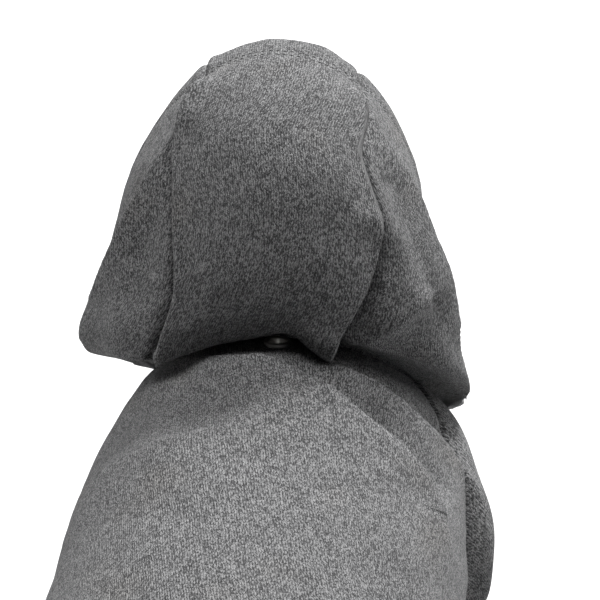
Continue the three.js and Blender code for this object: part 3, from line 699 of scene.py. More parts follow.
def right_roll(low, high, place):
    """The right cheek slopes down to the seam over a centimetre, under the centre panel."""
    sunk = overlap(place) * bell(low, 8, 1.5)
    return seam_roll(low) + seam_roll(high) - sunk + hood_edges(place)


def left_roll(low, high, place):
    """The left cheek plunges into its seam, so that the centre panel's edge stands above it: a share
    of the step in the last millimetres, and the rest over a centimetre."""
    sunk = step(place) * sum(share * bell(high, reach, 1.5) for share, reach in SUNK)
    return seam_roll(low) + seam_roll(high) - sunk + hood_edges(place)


# %% Hood panels
def left_seam(place):
    return -np.radians(hood_seams["left"](place))


def right_seam(place):
    return np.radians(hood_seams["right"](place))


def chin_seam(place):
    return np.full_like(place, np.pi)


def tilted(flat, degrees):
    """Flat coordinates turned by a small angle, as the knit's columns lie on the real panels."""
    turn = math.radians(degrees)
    u, v = flat[..., 0], flat[..., 1]
    return np.stack([u * math.cos(turn) - v * math.sin(turn), u * math.sin(turn) + v * math.cos(turn)], -1)


def cloth_panel(name, node, grid, tilt, centre):
    """A finished wall of cloth that stands for a solid, from the grid of its outer face."""
    points, flat = grid
    piece = walled(face_outwards(mesh_piece(name, points, tilted(flat, tilt)), centre))
    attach(piece, "root")
    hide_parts(node)
    span = flat[:, :, 0].max() - flat[:, :, 0].min(), flat[:, :, 1].max()
    print(f"{name}: {surface_mm2(points) / 100:.0f} cm2, {span[0]:.0f} by {span[1]:.0f} mm")
    return piece


HOOD_MIDDLE = (0, 45, 20)
centre_grid = cloth_grid("hood", left_seam, right_seam, hood_places, 110, centre_roll)
right_grid = cloth_grid("hood", right_seam, chin_seam, hood_places, 150, right_roll, fixed=0)
left_grid = cloth_grid("hood", lambda p: -chin_seam(p), left_seam, hood_places, 150, left_roll, fixed=1)
hood_centre = cloth_panel("hood_centre_cloth", "hood_centre_panel", centre_grid, 2.8, HOOD_MIDDLE)
hood_right = cloth_panel("hood_right_cloth", "hood_right_panel", right_grid, -14, HOOD_MIDDLE)
hood_left = cloth_panel("hood_left_cloth", "hood_left_panel", left_grid, 14, HOOD_MIDDLE)

# %% [markdown]
# ## Body
# The back and the belly meet along the side seams, and the sleeves are set into the armholes in front
# of them. The rows crowd towards the armpit, where the edge of the armhole turns back on itself.

# %% Armholes
ARMHOLE_ROWS, WAIST_ROWS = 100, 100
NECK_ROLL_LENGTH = 155


def armhole_edge(place, side, hand):
    """Angle of the armhole's edge: an ellipse about the sleeve's middle, turned towards +X for hand 1
    and -X for hand -1. side -1 is its edge along the back and 1 the one along the chest. Past the
    armpit both edges are the side seam."""
    past = np.minimum(1, place / ARMHOLE_END)
    turned = armhole["middle"](place) + side * armhole["half"](place) * np.sqrt(1 - past * past)
    return np.radians(hand * turned - SLIP * (1 - place))


body_places = np.concatenate(
    [
        ARMHOLE_END * np.sin(np.linspace(0, np.pi / 2, ARMHOLE_ROWS + 1)),
        np.linspace(ARMHOLE_END, 1, WAIST_ROWS + 1)[1:],
    ]
)


def body_roll(low, high, place):
    """Plain seams on both sides, the neck seam in front, and a roll into the waistband."""
    sides = seam_roll(low) + seam_roll(high)
    waist = (1 - place) * BACK_LENGTH
    return sides + neck_roll(place, NECK_ROLL_LENGTH, 1.1) - 1.2 * bell(waist, 1.5, 1.5)


BODY_MIDDLE = (0, -110, -65)
back_grid = cloth_grid(
    "body", lambda p: armhole_edge(p, -1, -1), lambda p: armhole_edge(p, -1, 1), body_places, 150, body_roll
)
belly_grid = cloth_grid(
    "body", lambda p: armhole_edge(p, 1, 1), lambda p: 2 * np.pi + armhole_edge(p, 1, -1), body_places, 100,
    body_roll,
)

# %% [markdown]
# ## The hole for the eyelet
# The eyelet is a ring that grips the cloth round a small hole. Cutting the hole with a boolean would
# leave slivers, so the points round it are drawn outwards instead, and the faces inside are left out.
# The ragged edge that remains lies under the rim of the ring.

# %% Hole
EYELET_RADIUS, EYELET_HOLE = 5.75, 3.5
HOLE_KEPT, HOLE_EDGE, HOLE_REACH, HOLE_DEPTH = 2.4, 4.3, 9.0, 20

low, high = (np.array(corner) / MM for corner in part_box("leash_eyelet"))
eyelet_middle = (low + high) / 2


def drawn_out(points):
    """Moves points near the eyelet away from its axis: what was a small radius ends at the hole's
    edge, and points beyond the reach stay."""
    away = points - eyelet_middle
    away[..., 2] = 0
    radius = np.linalg.norm(away, axis=-1, keepdims=True)
    share = np.clip((radius - HOLE_KEPT) / (HOLE_REACH - HOLE_KEPT), 0, 1)
    wanted = mix(HOLE_EDGE, HOLE_REACH, share)
    near = (radius < HOLE_REACH) & (np.abs(points[..., 2:] - eyelet_middle[2]) < HOLE_DEPTH)
    moved = points + np.where(near, away / np.maximum(radius, 1e-6) * (wanted - radius), 0)
    return moved, (radius[..., 0] < HOLE_KEPT) & near[..., 0]


back_points, inside_hole = drawn_out(back_grid[0])
back = cloth_panel("back_cloth", "back_panel", (back_points, back_grid[1]), 10.4, BODY_MIDDLE)
belly = cloth_panel("belly_cloth", "belly_panel", belly_grid, 0, BODY_MIDDLE)


def without_points(piece, dropped):
    """Leaves out the dropped points and the faces that touch them."""
    edit = bmesh.new()
    edit.from_mesh(piece.data)
    edit.verts.ensure_lookup_table()
    gone = [edit.verts[i] for i in np.flatnonzero(dropped.ravel())]
    bmesh.ops.delete(edit, geom=gone, context="VERTS")
    edit.to_mesh(piece.data)
    edit.free()


without_points(back, inside_hole)
print("points left out for the hole:", int(inside_hole.sum()))

# %% [markdown]
# ## Sleeves
# A raglan sleeve runs from the armhole's closed edge down to a round end. Each line of the sleeve is
# a smooth curve that leaves along the body's cloth over the shoulder, and straight down under the
# chest. The right sleeve head is pushed out by the cloth bunched in it. Neighbouring lines are
# averaged between the two ends, which takes out creases that are too sharp for a thick cloth.

# %% Sleeve measures
LEG_SPACING, LEG_FORWARD = 106.0, 36.0
SLEEVE_DROP, SLEEVE_WIDTH = 196.0, 58.0
PUFF = {1: 14.0, -1: 1.0}
UNDER_START, UNDER_END = 0.15, 0.75
LOOP_SIDE, LOOP_NECK = 9, 5
LOOP = 2 * LOOP_SIDE + LOOP_NECK
SLEEVE_COLUMNS, SLEEVE_ROWS = 184, 120
SOFTENED = 5
BULGE_AT = 0.2
SLACK_AT, SLACK_REACH = 22, 20
CROOK_AT, CROOK_REACH = 70, 26


# %% Sleeve walls
def armhole_point(index, hand):
    """Angle and place at an index that runs round the armhole: down the back edge to the armpit, up
    the chest edge, and back along the neck seam."""
    row = np.where(index <= LOOP_SIDE, index, 2 * LOOP_SIDE - index)
    turn = np.clip(row / LOOP_SIDE, 0, 1) * np.pi / 2
    place = np.where(index <= 2 * LOOP_SIDE, ARMHOLE_END * np.sin(turn), 0)
    side = np.where(index <= LOOP_SIDE, -1, 1)
    angle = armhole_edge(place, side, hand)
    start, end = armhole_edge(np.zeros(1), 1, hand), armhole_edge(np.zeros(1), -1, hand)
    along_neck = mix(start, end, (index - 2 * LOOP_SIDE) / LOOP_NECK)
    return np.where(index <= 2 * LOOP_SIDE, angle, along_neck), place


def body_point(angle, place):
    """Outer face of the body with its folds, and its normal, from short steps across it."""
    _, outward, folds = CLOTHS["body"]
    small = 1e-3
    before, after = np.maximum(0, place - small), np.minimum(1, place + small)
    round_way = smooth_body(angle + small, place) - smooth_body(angle - small, place)
    long_way = smooth_body(angle, after) - smooth_body(angle, before)
    face = outward * unit(np.cross(round_way, long_way))
    return smooth_body(angle, place) + face * folds(angle, place)[:, None], face


def sleeve_grid(hand):
    """Outer face of a sleeve without its folds: cubic curves from the armhole to the round end, with
    the head's swell, averaged with their neighbours by the weights of a bell between the ends."""
    down = np.array([0.0, 0.0, -1.0])
    centre = np.array([hand * LEG_SPACING / 2, LEG_FORWARD, CLOTH - SLEEVE_DROP])
    coarse, _ = body_point(*armhole_point(np.arange(LOOP, dtype=float), hand))
    index = np.arange(SLEEVE_COLUMNS) * LOOP / SLEEVE_COLUMNS
    start, normal = body_point(*armhole_point(index, hand))
    middle = coarse.mean(axis=0)
    around = coarse - middle
    after = np.roll(around, -1, axis=0)
    spin = np.sign((around[:, 0] * after[:, 1] - after[:, 0] * around[:, 1]).sum())
    lag = np.arctan2(around[:, 1], around[:, 0]) - spin * np.arange(LOOP) * 2 * np.pi / LOOP
    turn = np.arctan2(np.sin(lag).sum(), np.cos(lag).sum()) + spin * index * 2 * np.pi / LOOP
    round_ = np.stack([np.cos(turn), np.sin(turn), np.zeros_like(turn)], axis=-1)
    under = smoothstep(-normal[:, 2:], UNDER_START, UNDER_END)
    along = unit(down - normal * normal @ down[:, None])
    along = unit(mix(along, down, under))
    finish = centre + round_ * SLEEVE_WIDTH / 2
    reach = np.linalg.norm(finish - start, axis=-1, keepdims=True)
    lean = body_ring(np.zeros(1))["lean"][0]
    ahead = np.array([0, math.cos(lean), math.sin(lean)])
    outward = normal - (normal @ ahead)[:, None] * ahead
    bulge = PUFF[hand] * np.maximum(0, hand * normal[:, :1]) * (1 - under)
    s = np.linspace(0, 1, SLEEVE_ROWS + 1)[None, :, None] ** 1.15

    def line(values):
        return values[:, None, :]

    points = mix(line(start), line(finish), s * s * (3 - 2 * s))
    points = points + line(along * reach) * s * (1 - s) ** 2 + line(down * reach) * s * s * (s - 1)
    points = points + line(outward * bulge) * s * (1 - s) ** 4 / (BULGE_AT * (1 - BULGE_AT) ** 4)
    steps = np.arange(-3 * SOFTENED, 3 * SOFTENED + 1)
    weights = np.exp(-0.5 * (steps / SOFTENED) ** 2)
    softened = sum(w * np.roll(points, k, axis=0) for k, w in zip(steps, weights)) / weights.sum()
    points = mix(points, softened, smoothstep(s, 0, 0.1) * (1 - smoothstep(s, 0.7, 0.95)))
    return points, normal, turn


def sleeve_face(hand):
    """The sleeve's points with its folds and seams, and its flat coordinates. Rings of slack lie above
    the cuff, a crook lies at the elbow, and both are waves of the distance left to the cuff."""
    points, root, turn = sleeve_grid(hand)
    wrapped = np.concatenate([points[-1:], points, points[:1]])
    normals = grid_normals(wrapped, 1)[1:-1]
    if (normals[:, :1] * root[:, None, :]).sum() < 0:
        normals = -normals
    along = run_length(points, 1)
    blend = smoothstep(along, 0, 6)[..., None]
    normals = unit(mix(root[:, None, :], normals, blend))
    left = along[:, -1:] - along
    angle = turn[:, None] + 0 * along
    phase = left / 5.2 + 1.3 * np.sin(angle - 0.6) + 0.5 * np.sin(2 * angle)
    slack = bell(left - SLACK_AT, SLACK_REACH) * np.sin(phase)
    crook = bell(left - CROOK_AT, CROOK_REACH) * np.sin(left / 7.5 + 1.1 * np.sin(angle + 2))
    crook = crook * (0.5 + 0.5 * np.cos(angle - 1.2))
    u = SLEEVE_WIDTH / 2 * angle
    drift = 0.35 * np.sin(u / 9 + left / 17) * np.sin(left / 23 + 1.4 * np.sin(angle))
    height = (0.9 * slack + 0.9 * crook + drift) * smoothstep(along, 0, 14) * smoothstep(left, 0, 5)
    height = height + seam_roll(along) - 1.1 * bell(left, 1.3, 1.5)
    height = height + 0.25 * np.sin(30 * angle) * np.exp(-left / 5)
    points = points + normals * height[..., None]
    across = np.linspace(0, 1, SLEEVE_COLUMNS + 1)[:, None] * math.pi * SLEEVE_WIDTH
    flat = np.broadcast_arrays(across, np.vstack([along, along[:1]]))
    return points, np.stack(flat, axis=-1)


def sleeve(name, node, hand):
    """A finished sleeve that stands for a solid."""
    points, flat = sleeve_face(hand)
    piece = mesh_piece(name, points, flat, closed=True)
    centre = (hand * LEG_SPACING / 2, LEG_FORWARD, -120)
    walled(face_outwards(piece, centre))
    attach(piece, "root")
    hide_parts(node)
    wide = surface_mm2(np.concatenate([points, points[:1]]))
    print(f"{name}: {wide / 100:.0f} cm2, longest line {flat[..., 1].max():.0f} mm")
    return piece


sleeve_right = sleeve("sleeve_right_cloth", "sleeve_right", 1)
sleeve_left = sleeve("sleeve_left_cloth", "sleeve_left", -1)

# %% [markdown]
# ## Rib-knit bands
# Cuffs and waistband are folded double, so each is one strip whose profile runs down the outside,
# round the fold and up the inside. Ribs are a wave round the band, and the band is drawn in a little
# towards its folded edge.

# %% Bands
CUFF_LENGTH, WAISTBAND_LENGTH = 24.0, 30.0
RIB_WALL, RIB_RELIEF = 2.2, 0.7
CUFF_RIBS, WAIST_RIBS = 48, 88
BAND_TAPER = 0.95
BAND_ROWS, RIB_POINTS = 22, 12


def band_profile(length):
    """Distance along the band and depth under its outer face, down the outside, round the folded
    edge and up the inside."""
    side = np.linspace(0, 1, BAND_ROWS)
    turn = np.linspace(-np.pi / 2, np.pi / 2, 9)[1:-1]
    half = RIB_WALL / 2
    straight = length - half
    run = np.concatenate([side * straight, straight + half * np.cos(turn), straight * (1 - side)])
    depth = np.concatenate([0 * side, half + half * np.sin(turn), RIB_WALL + 0 * side])
    return run, depth


def rib_band(name, node, edge, middle, away, length, ribs):
    """A band from its sewn edge: each line keeps its direction from the middle, while its distance is
    the edge's, drawn in by the taper, less the depth of the profile, plus the wave of the ribs."""
    count = ribs * RIB_POINTS
    angle = np.arange(count) * 2 * np.pi / count
    sewn = edge(angle)
    out = sewn - middle
    radius = np.linalg.norm(out, axis=-1)[:, None]
    run, depth = band_profile(length)
    wave = np.sin(angle * ribs)[:, None]
    wave = np.sign(wave) * np.abs(wave) ** 0.6 * RIB_RELIEF / 2
    inside = np.where(depth > RIB_WALL / 2, -1, 1)
    at_seam = -1.0 * bell(run, 1.4, 1.5) * (inside > 0)
    sway = 0.35 * np.sin(3 * angle[:, None] + run / 14)
    distance = radius * mix(1, BAND_TAPER, run / length) - depth + wave * inside + at_seam + sway
    points = middle + out[:, None, :] / radius[..., None] * distance[..., None] + away * run[:, None]
    around = run_length(np.concatenate([sewn, sewn[:1]]), 0)
    along = np.concatenate([[0], np.cumsum(np.hypot(np.diff(run), np.diff(depth)))])
    flat = np.stack(np.broadcast_arrays(around[:, None], along[None, :]), axis=-1)
    piece = mesh_piece(name, points, flat, closed=True)
    if piece.data.polygons[5].normal.dot((points[0, 5] - middle - away * run[5]).tolist()) < 0:
        piece.data.flip_normals()
    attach(piece, "root")
    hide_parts(node)
    print(f"{name}: strip {around[-1]:.0f} by {along[-1]:.0f} mm")
    return piece


def cuff(name, node, hand):
    """A cuff, sewn to the round end of its sleeve."""
    middle = np.array([hand * LEG_SPACING / 2, LEG_FORWARD, CLOTH - SLEEVE_DROP])

    def edge(angle):
        return middle + SLEEVE_WIDTH / 2 * np.stack([np.cos(angle), np.sin(angle), 0 * angle], -1)

    return rib_band(name, node, edge, middle, np.array([0.0, 0.0, -1.0]), CUFF_LENGTH, CUFF_RIBS)


def waist_edge(angle):
    return smooth_body(angle, np.ones_like(angle))


cuff_right = cuff("cuff_right_rib", "cuff_right", 1)
cuff_left = cuff("cuff_left_rib", "cuff_left", -1)
waist_lean = math.radians(BODY_RINGS["lean"][-1])
waist_away = np.array([0, -math.cos(waist_lean), -math.sin(waist_lean)])
waist_middle = waist_edge(np.array([0.0, np.pi])).mean(axis=0)
waistband = rib_band(
    "waistband_rib", "waistband", waist_edge, waist_middle, waist_away, WAISTBAND_LENGTH, WAIST_RIBS
)

# %% [markdown]
# ## Eyelet
# The metal eyelet is turned: one rounded profile swept round its own axis, pressed through the cloth
# with a rolled rim on each side. Its axis is the cloth's own normal there.

# %% Eyelet
EYELET_SIDES = 72
RIM_HEIGHT, RIM_STAND = 0.95, 0.15


def eyelet_profile():
    """Radius and height of the rolled rim, round the outside of one side and through the tube to the
    other: half circles over the flange, and straight through the hole."""
    width = (EYELET_RADIUS - EYELET_HOLE) / 2
    turn = np.linspace(0, np.pi, 15)
    top = CLOTH / 2 + RIM_STAND
    radius = EYELET_HOLE + width + width * np.cos(turn)
    height = top + RIM_HEIGHT * np.sin(turn) ** 0.8
    return np.concatenate([radius, radius[::-1]]), np.concatenate([height, -height[::-1]])


def eyelet(name):
    """The eyelet: its profile swept round the cloth's normal at the hole."""
    radius, height = eyelet_profile()
    angle = np.arange(EYELET_SIDES) * 2 * np.pi / EYELET_SIDES
    place = root_of(lambda p: eyelet_middle[1] - smooth_body(0 * p, p)[:, 1], np.zeros(1), np.ones(1))
    seat, normal = body_point(np.zeros(1), place)
    axis = normal[0]
    side = unit(np.cross(axis, [1.0, 0, 0]))
    front = np.cross(side, axis)
    ring = np.cos(angle)[:, None] * front + np.sin(angle)[:, None] * side
    swept = ring[:, None, :] * radius[None, :, None]
    points = seat[0] - axis * CLOTH / 2 + swept + axis * height[None, :, None]
    points = np.concatenate([points, points[:, :1]], axis=1)
    across = np.arange(EYELET_SIDES + 1)[:, None] * 0.5
    along = np.arange(points.shape[1])[None, :] * 0.4
    flat = np.stack(np.broadcast_arrays(across, along), axis=-1)
    piece = mesh_piece(name, points, flat, closed=True)
    edit = bmesh.new()
    edit.from_mesh(piece.data)
    bmesh.ops.remove_doubles(edit, verts=edit.verts, dist=1e-7)
    bmesh.ops.recalc_face_normals(edit, faces=edit.faces)
    edit.to_mesh(piece.data)
    edit.free()
    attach(piece, "root")
    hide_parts("leash_eyelet")
    print(name, "at", np.round(seat[0], 2), "axis", np.round(axis, 3))
    return piece


eyelet_metal = eyelet("eyelet_metal")

# %% [markdown]
# ## Stitches of the face hem
# Two rows of thread hold the turned-in rim. Each stitch is a small tapered tube that comes up out of
# the cloth and goes in again, placed at even steps along a row of the hood's own points.

# %% Stitches
STITCH_PITCH, STITCH_LENGTH, THREAD = 3.0, 2.2, 0.24
STITCH_RISE, STITCH_SINK = 0.42, 0.12


def stitch_row(curve, normal):
    """Points of the stitches along a curve, [stitch, section, corner]: sections run along the stitch,
    a bow of a sine lifts its middle, and the thread narrows at both ends."""
    run = run_length(curve, 0)
    starts = np.arange(STITCH_PITCH / 2, run[-1] - STITCH_PITCH, STITCH_PITCH)
    t = np.linspace(0, 1, 6)
    at = starts[:, None] + t * STITCH_LENGTH

    def along(values):
        return np.stack([np.interp(at, run, values[:, k]) for k in range(3)], axis=-1)

    middle, up = along(curve), unit(along(normal))
    way = unit(np.gradient(middle, axis=1))
    across = np.cross(way, up)
    lift = (STITCH_RISE * np.sin(np.pi * t) - STITCH_SINK)[None, :, None]
    thick = (THREAD * (0.35 + 0.65 * np.sin(np.pi * t) ** 0.5))[None, :, None, None]
    turn = np.linspace(0, 2 * np.pi, 7)[:-1, None]
    ring = np.cos(turn) * across[:, :, None, :] + np.sin(turn) * up[:, :, None, :]
    return (middle + up * lift)[:, :, None, :] + ring * thick


def stitches(name, rows):
    """One mesh of many stitches: each is a tube of quads with a cap at both ends."""
    points = np.concatenate(rows)
    count, sections, corners = points.shape[:3]
    i, j = np.meshgrid(np.arange(sections - 1), np.arange(corners), indexing="ij")
    i, j = i.ravel(), j.ravel()
    k = (j + 1) % corners
    quads = np.stack([i * corners + j, i * corners + k, (i + 1) * corners + k, (i + 1) * corners + j], -1)
    ends = [list(range(corners))[::-1], list(range((sections - 1) * corners, sections * corners))]
    faces = []
    for first in range(0, count * sections * corners, sections * corners):
        faces += (quads + first).tolist() + [[c + first for c in end] for end in ends]
    mesh = bpy.data.meshes.new(name)
    mesh.from_pydata((points.reshape(-1, 3) * MM).tolist(), [], faces)
    mesh.shade_smooth()
    piece = bpy.data.objects.new(name, mesh)
    bpy.context.collection.objects.link(piece)
    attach(piece, "root")
    print(f"{name}: {count} stitches")
    return piece


hem_rows = []
for points, _ in (centre_grid, right_grid, left_grid):
    normals = grid_normals(points, 1)
    for distance in HEM_ROWS:
        row = len(TUCKS) + int(np.argmin(np.abs((1 - hood_places) * HOOD_LENGTH - distance)))
        hem_rows.append(stitch_row(points[:, row], normals[:, row]))
hem_stitches = stitches("hem_stitches", hem_rows)

# %% [markdown]
# ## Cloth as sheets
# Each panel prints the area of its outer face and the size of its flat coordinates, in square centimetres and
# millimetres.
# The seams leave about a centimetre all round, which isn't counted.

# %% [markdown]
# ## Shader groups
# Sweatshirt fleece is a plain knit: columns of V-shaped loops about a millimetre wide, spun from a
# grey melange yarn whose fibres were dyed before spinning, so light and dark flecks sit side by side.
# One group draws the loops and another the flecks, so both the fleece and the rib knit can use them.


# %% Node helpers
def put(tree, value, socket):
    """Links a socket to another, or sets its value."""
    if isinstance(value, bpy.types.NodeSocket):
        tree.links.new(value, socket)
    else:
        socket.default_value = value


def maths(tree, operation, *values, clamp=False):
    node = tree.nodes.new("ShaderNodeMath")
    node.operation = operation
    node.use_clamp = clamp
    for value, socket in zip(values, node.inputs):
        put(tree, value, socket)
    return node.outputs[0]


def noise(tree, vector, scale, detail=2.0, roughness=0.5):
    node = tree.nodes.new("ShaderNodeTexNoise")
    put(tree, vector, node.inputs["Vector"])
    node.inputs["Scale"].default_value = scale
    node.inputs["Detail"].default_value = detail
    node.inputs["Roughness"].default_value = roughness
    return node.outputs["Fac"]


def scaled(tree, vector, size):
    node = tree.nodes.new("ShaderNodeVectorMath")
    node.operation = "MULTIPLY"
    put(tree, vector, node.inputs[0])
    node.inputs[1].default_value = size
    return node.outputs[0]


def blended(tree, factor, first, second, kind="MIX"):
    node = tree.nodes.new("ShaderNodeMix")
    node.data_type = "RGBA"
    node.blend_type = kind
    put(tree, factor, node.inputs["Factor"])
    put(tree, first, node.inputs["A"])
    put(tree, second, node.inputs["B"])
    return node.outputs["Result"]


def shader_group(name, inputs, outputs):
    """An empty node group with named sockets."""
    group = bpy.data.node_groups.new(name, "ShaderNodeTree")
    for label, kind, value in inputs:
        socket = group.interface.new_socket(label, in_out="INPUT", socket_type=kind)
        if value is not None:
            socket.default_value = value
    for label, kind in outputs:
        group.interface.new_socket(label, in_out="OUTPUT", socket_type=kind)
    return group, group.nodes.new("NodeGroupInput"), group.nodes.new("NodeGroupOutput")


def grouped(tree, group, **values):
    node = tree.nodes.new("ShaderNodeGroup")
    node.node_tree = group
    for label, value in values.items():
        put(tree, value, node.inputs[label.replace("_", " ")])
    return node.outputs


# %% Knit loops
def knit_group():
    """Height of plain knit, and a mask of painted shade. Across, the column's own coordinate gives a rounded
    wale with a gap beside it, where the mask is 1 and the colour is darkened as painted shade.
    Along, the courses lean up towards the gaps, so the loops read as a V."""
    group, entry, leave = shader_group(
        "knit loops",
        [
            ("Cloth", "NodeSocketVector", None),
            ("Wale", "NodeSocketFloat", 0.001),
            ("Course", "NodeSocketFloat", 0.0008),
        ],
        [("Height", "NodeSocketFloat"), ("Gap", "NodeSocketFloat"), ("Loop", "NodeSocketFloat")],
    )
    split = group.nodes.new("ShaderNodeSeparateXYZ")
    put(group, entry.outputs["Cloth"], split.inputs[0])
    wander = noise(group, entry.outputs["Cloth"], 160, 1)
    across = maths(group, "DIVIDE", split.outputs[0], entry.outputs["Wale"])
    across = maths(group, "ADD", across, maths(group, "MULTIPLY", wander, 0.7))
    inside = maths(group, "FRACT", across)
    from_middle = maths(group, "ABSOLUTE", maths(group, "SUBTRACT", inside, 0.5))
    from_middle = maths(group, "MULTIPLY", from_middle, 2.0)
    along = maths(group, "DIVIDE", split.outputs[1], entry.outputs["Course"])
    leaning = maths(group, "ADD", along, maths(group, "MULTIPLY", from_middle, 0.8))
    wave = maths(group, "SINE", maths(group, "MULTIPLY", leaning, 2 * math.pi))
    wale = maths(group, "SUBTRACT", 1.0, maths(group, "POWER", from_middle, 2.5))
    height = maths(group, "MULTIPLY", wale, maths(group, "ADD", 0.75, maths(group, "MULTIPLY", wave, 0.25)))
    cell = group.nodes.new("ShaderNodeCombineXYZ")
    put(group, maths(group, "FLOOR", maths(group, "MULTIPLY", across, 2.0)), cell.inputs[0])
    put(group, maths(group, "FLOOR", leaning), cell.inputs[1])
    random = group.nodes.new("ShaderNodeTexWhiteNoise")
    random.noise_dimensions = "2D"
    put(group, cell.outputs[0], random.inputs["Vector"])
    put(group, height, leave.inputs["Height"])
    # Painted shade: this mask is 1 in the gaps between the wales, and the melange group darkens the colour
    # there.
    put(group, maths(group, "POWER", from_middle, 4.0), leave.inputs["Gap"])
    put(group, random.outputs["Value"], leave.inputs["Loop"])
    return group


knit_loops = knit_group()
print("sockets of the knit group:", [s.name for s in knit_loops.interface.items_tree])


# %% Melange
def melange_group():
    """Flecks of a melange yarn: a tone from three sizes of noise, spread over a dark, a middle and a light
    grey, with painted shade where the gap mask marks the gaps between wales, and a trace of warmth where the
    cloth has been handled."""
    group, entry, leave = shader_group(
        "melange",
        [
            ("Cloth", "NodeSocketVector", None),
            ("Loop", "NodeSocketFloat", 0.5),
            ("Gap", "NodeSocketFloat", 0.0),
            ("Dark", "NodeSocketColor", (0.03, 0.03, 0.031, 1)),
            ("Middle", "NodeSocketColor", (0.125, 0.125, 0.127, 1)),
            ("Light", "NodeSocketColor", (0.36, 0.36, 0.362, 1)),
            ("Contrast", "NodeSocketFloat", 1.0),
        ],
        [("Color", "NodeSocketColor"), ("Tone", "NodeSocketFloat")],
    )
    cloth = entry.outputs["Cloth"]
    fibre = noise(group, scaled(group, cloth, (1.0, 0.55, 1.0)), 4600, 1, 0.6)
    fleck = noise(group, scaled(group, cloth, (1.0, 0.7, 1.0)), 1800, 1, 0.55)
    cloud = noise(group, cloth, 210, 3, 0.55)
    tone = maths(group, "MULTIPLY", maths(group, "SUBTRACT", entry.outputs["Loop"], 0.5), 0.62)
    for part, weight in ((fibre, 1.5), (fleck, 0.9), (cloud, 0.34)):
        swing = maths(group, "SUBTRACT", part, 0.5)
        tone = maths(group, "ADD", tone, maths(group, "MULTIPLY", swing, weight))
    # Painted shade: the tone drops in the gaps between the wales, where shade would fall.
    tone = maths(group, "SUBTRACT", tone, maths(group, "MULTIPLY", entry.outputs["Gap"], 0.3))
    tone = maths(group, "ADD", maths(group, "MULTIPLY", tone, entry.outputs["Contrast"]), 0.5, clamp=True)
    ramp = maths(group, "MULTIPLY", tone, 2.0)
    lower = blended(group, maths(group, "MINIMUM", ramp, 1.0), entry.outputs["Dark"], entry.outputs["Middle"])
    upper = maths(group, "MAXIMUM", maths(group, "SUBTRACT", ramp, 1.0), 0.0)
    colour = blended(group, upper, lower, entry.outputs["Light"])
    worn = maths(group, "SUBTRACT", noise(group, cloth, 22, 1), 0.56)
    worn = maths(group, "MULTIPLY", worn, 1.6, clamp=True)
    colour = blended(group, worn, colour, (1.0, 0.93, 0.84, 1), "MULTIPLY")
    put(group, colour, leave.inputs["Color"])
    put(group, tone, leave.inputs["Tone"])
    return group


melange = melange_group()
print("sockets of the melange group:", [s.name for s in melange.interface.items_tree])

# %% [markdown]
# ## Finishes
# The outside of the fleece shows the knit under a thin fuzz, which a little sheen stands for. The
# inside is brushed, so it has no loops. The ribs, the hem thread and the nickel eyelet follow.


# %% Cloth materials
def new_material(name):
    material = bpy.data.materials.new(name)
    material.use_nodes = True
    tree = material.node_tree
    return material, tree, tree.nodes["Principled BSDF"]


def cloth_uv(tree):
    node = tree.nodes.new("ShaderNodeUVMap")
    node.uv_map = "cloth"
    return node.outputs[0]


def bumped(tree, shader, height, distance, strength):
    bump = tree.nodes.new("ShaderNodeBump")
    bump.inputs["Strength"].default_value = strength
    bump.inputs["Distance"].default_value = distance
    put(tree, height, bump.inputs["Height"])
    put(tree, bump.outputs[0], shader.inputs["Normal"])


def knit_material(name, wale, course, contrast, light):
    """A knitted finish: loops and flecks from the groups, a matt shader with a little sheen, and a
    bump of the loops and the fuzz."""
    material, tree, shader = new_material(name)
    cloth = cloth_uv(tree)
    loops = grouped(tree, knit_loops, Cloth=cloth, Wale=wale, Course=course)
    # The loops' gap mask darkens the flecks between the wales as painted shade.
    flecks = grouped(
        tree, melange, Cloth=cloth, Loop=loops["Loop"], Gap=loops["Gap"], Contrast=contrast, Light=light
    )
    put(tree, flecks["Color"], shader.inputs["Base Color"])
    roughness = maths(tree, "ADD", 0.86, maths(tree, "MULTIPLY", flecks["Tone"], 0.1))
    put(tree, roughness, shader.inputs["Roughness"])
    shader.inputs["Specular IOR Level"].default_value = 0.15
    shader.inputs["Sheen Weight"].default_value = 0.06
    shader.inputs["Sheen Roughness"].default_value = 0.45
    fuzz = noise(tree, cloth, 2600, 2, 0.6)
    height = maths(tree, "ADD", loops["Height"], maths(tree, "MULTIPLY", fuzz, 0.5))
    bumped(tree, shader, height, 0.00032, 0.75)
    return material


fleece = knit_material("fleece", 0.001, 0.0008, 1.5, (0.29, 0.29, 0.292, 1))
rib_knit = knit_material("rib_knit", 0.0011, 0.0009, 1.15, (0.33, 0.33, 0.333, 1))


def brushed_material(name):
    """The napped inside: soft clumps of fibre instead of loops."""
    material, tree, shader = new_material(name)
    cloth = cloth_uv(tree)
    flecks = grouped(tree, melange, Cloth=cloth, Contrast=0.75, Light=(0.3, 0.3, 0.302, 1))
    put(tree, flecks["Color"], shader.inputs["Base Color"])
    shader.inputs["Roughness"].default_value = 0.97
    shader.inputs["Specular IOR Level"].default_value = 0.1
    shader.inputs["Sheen Weight"].default_value = 0.4
    shader.inputs["Sheen Roughness"].default_value = 0.6
    clumps = noise(tree, cloth, 700, 3, 0.6)
    fibres = maths(tree, "MULTIPLY", noise(tree, cloth, 2400, 2), 0.5)
    clumps = maths(tree, "ADD", clumps, fibres)
    bumped(tree, shader, clumps, 0.0005, 0.8)
    return material


fleece_inside = brushed_material("fleece_inside")


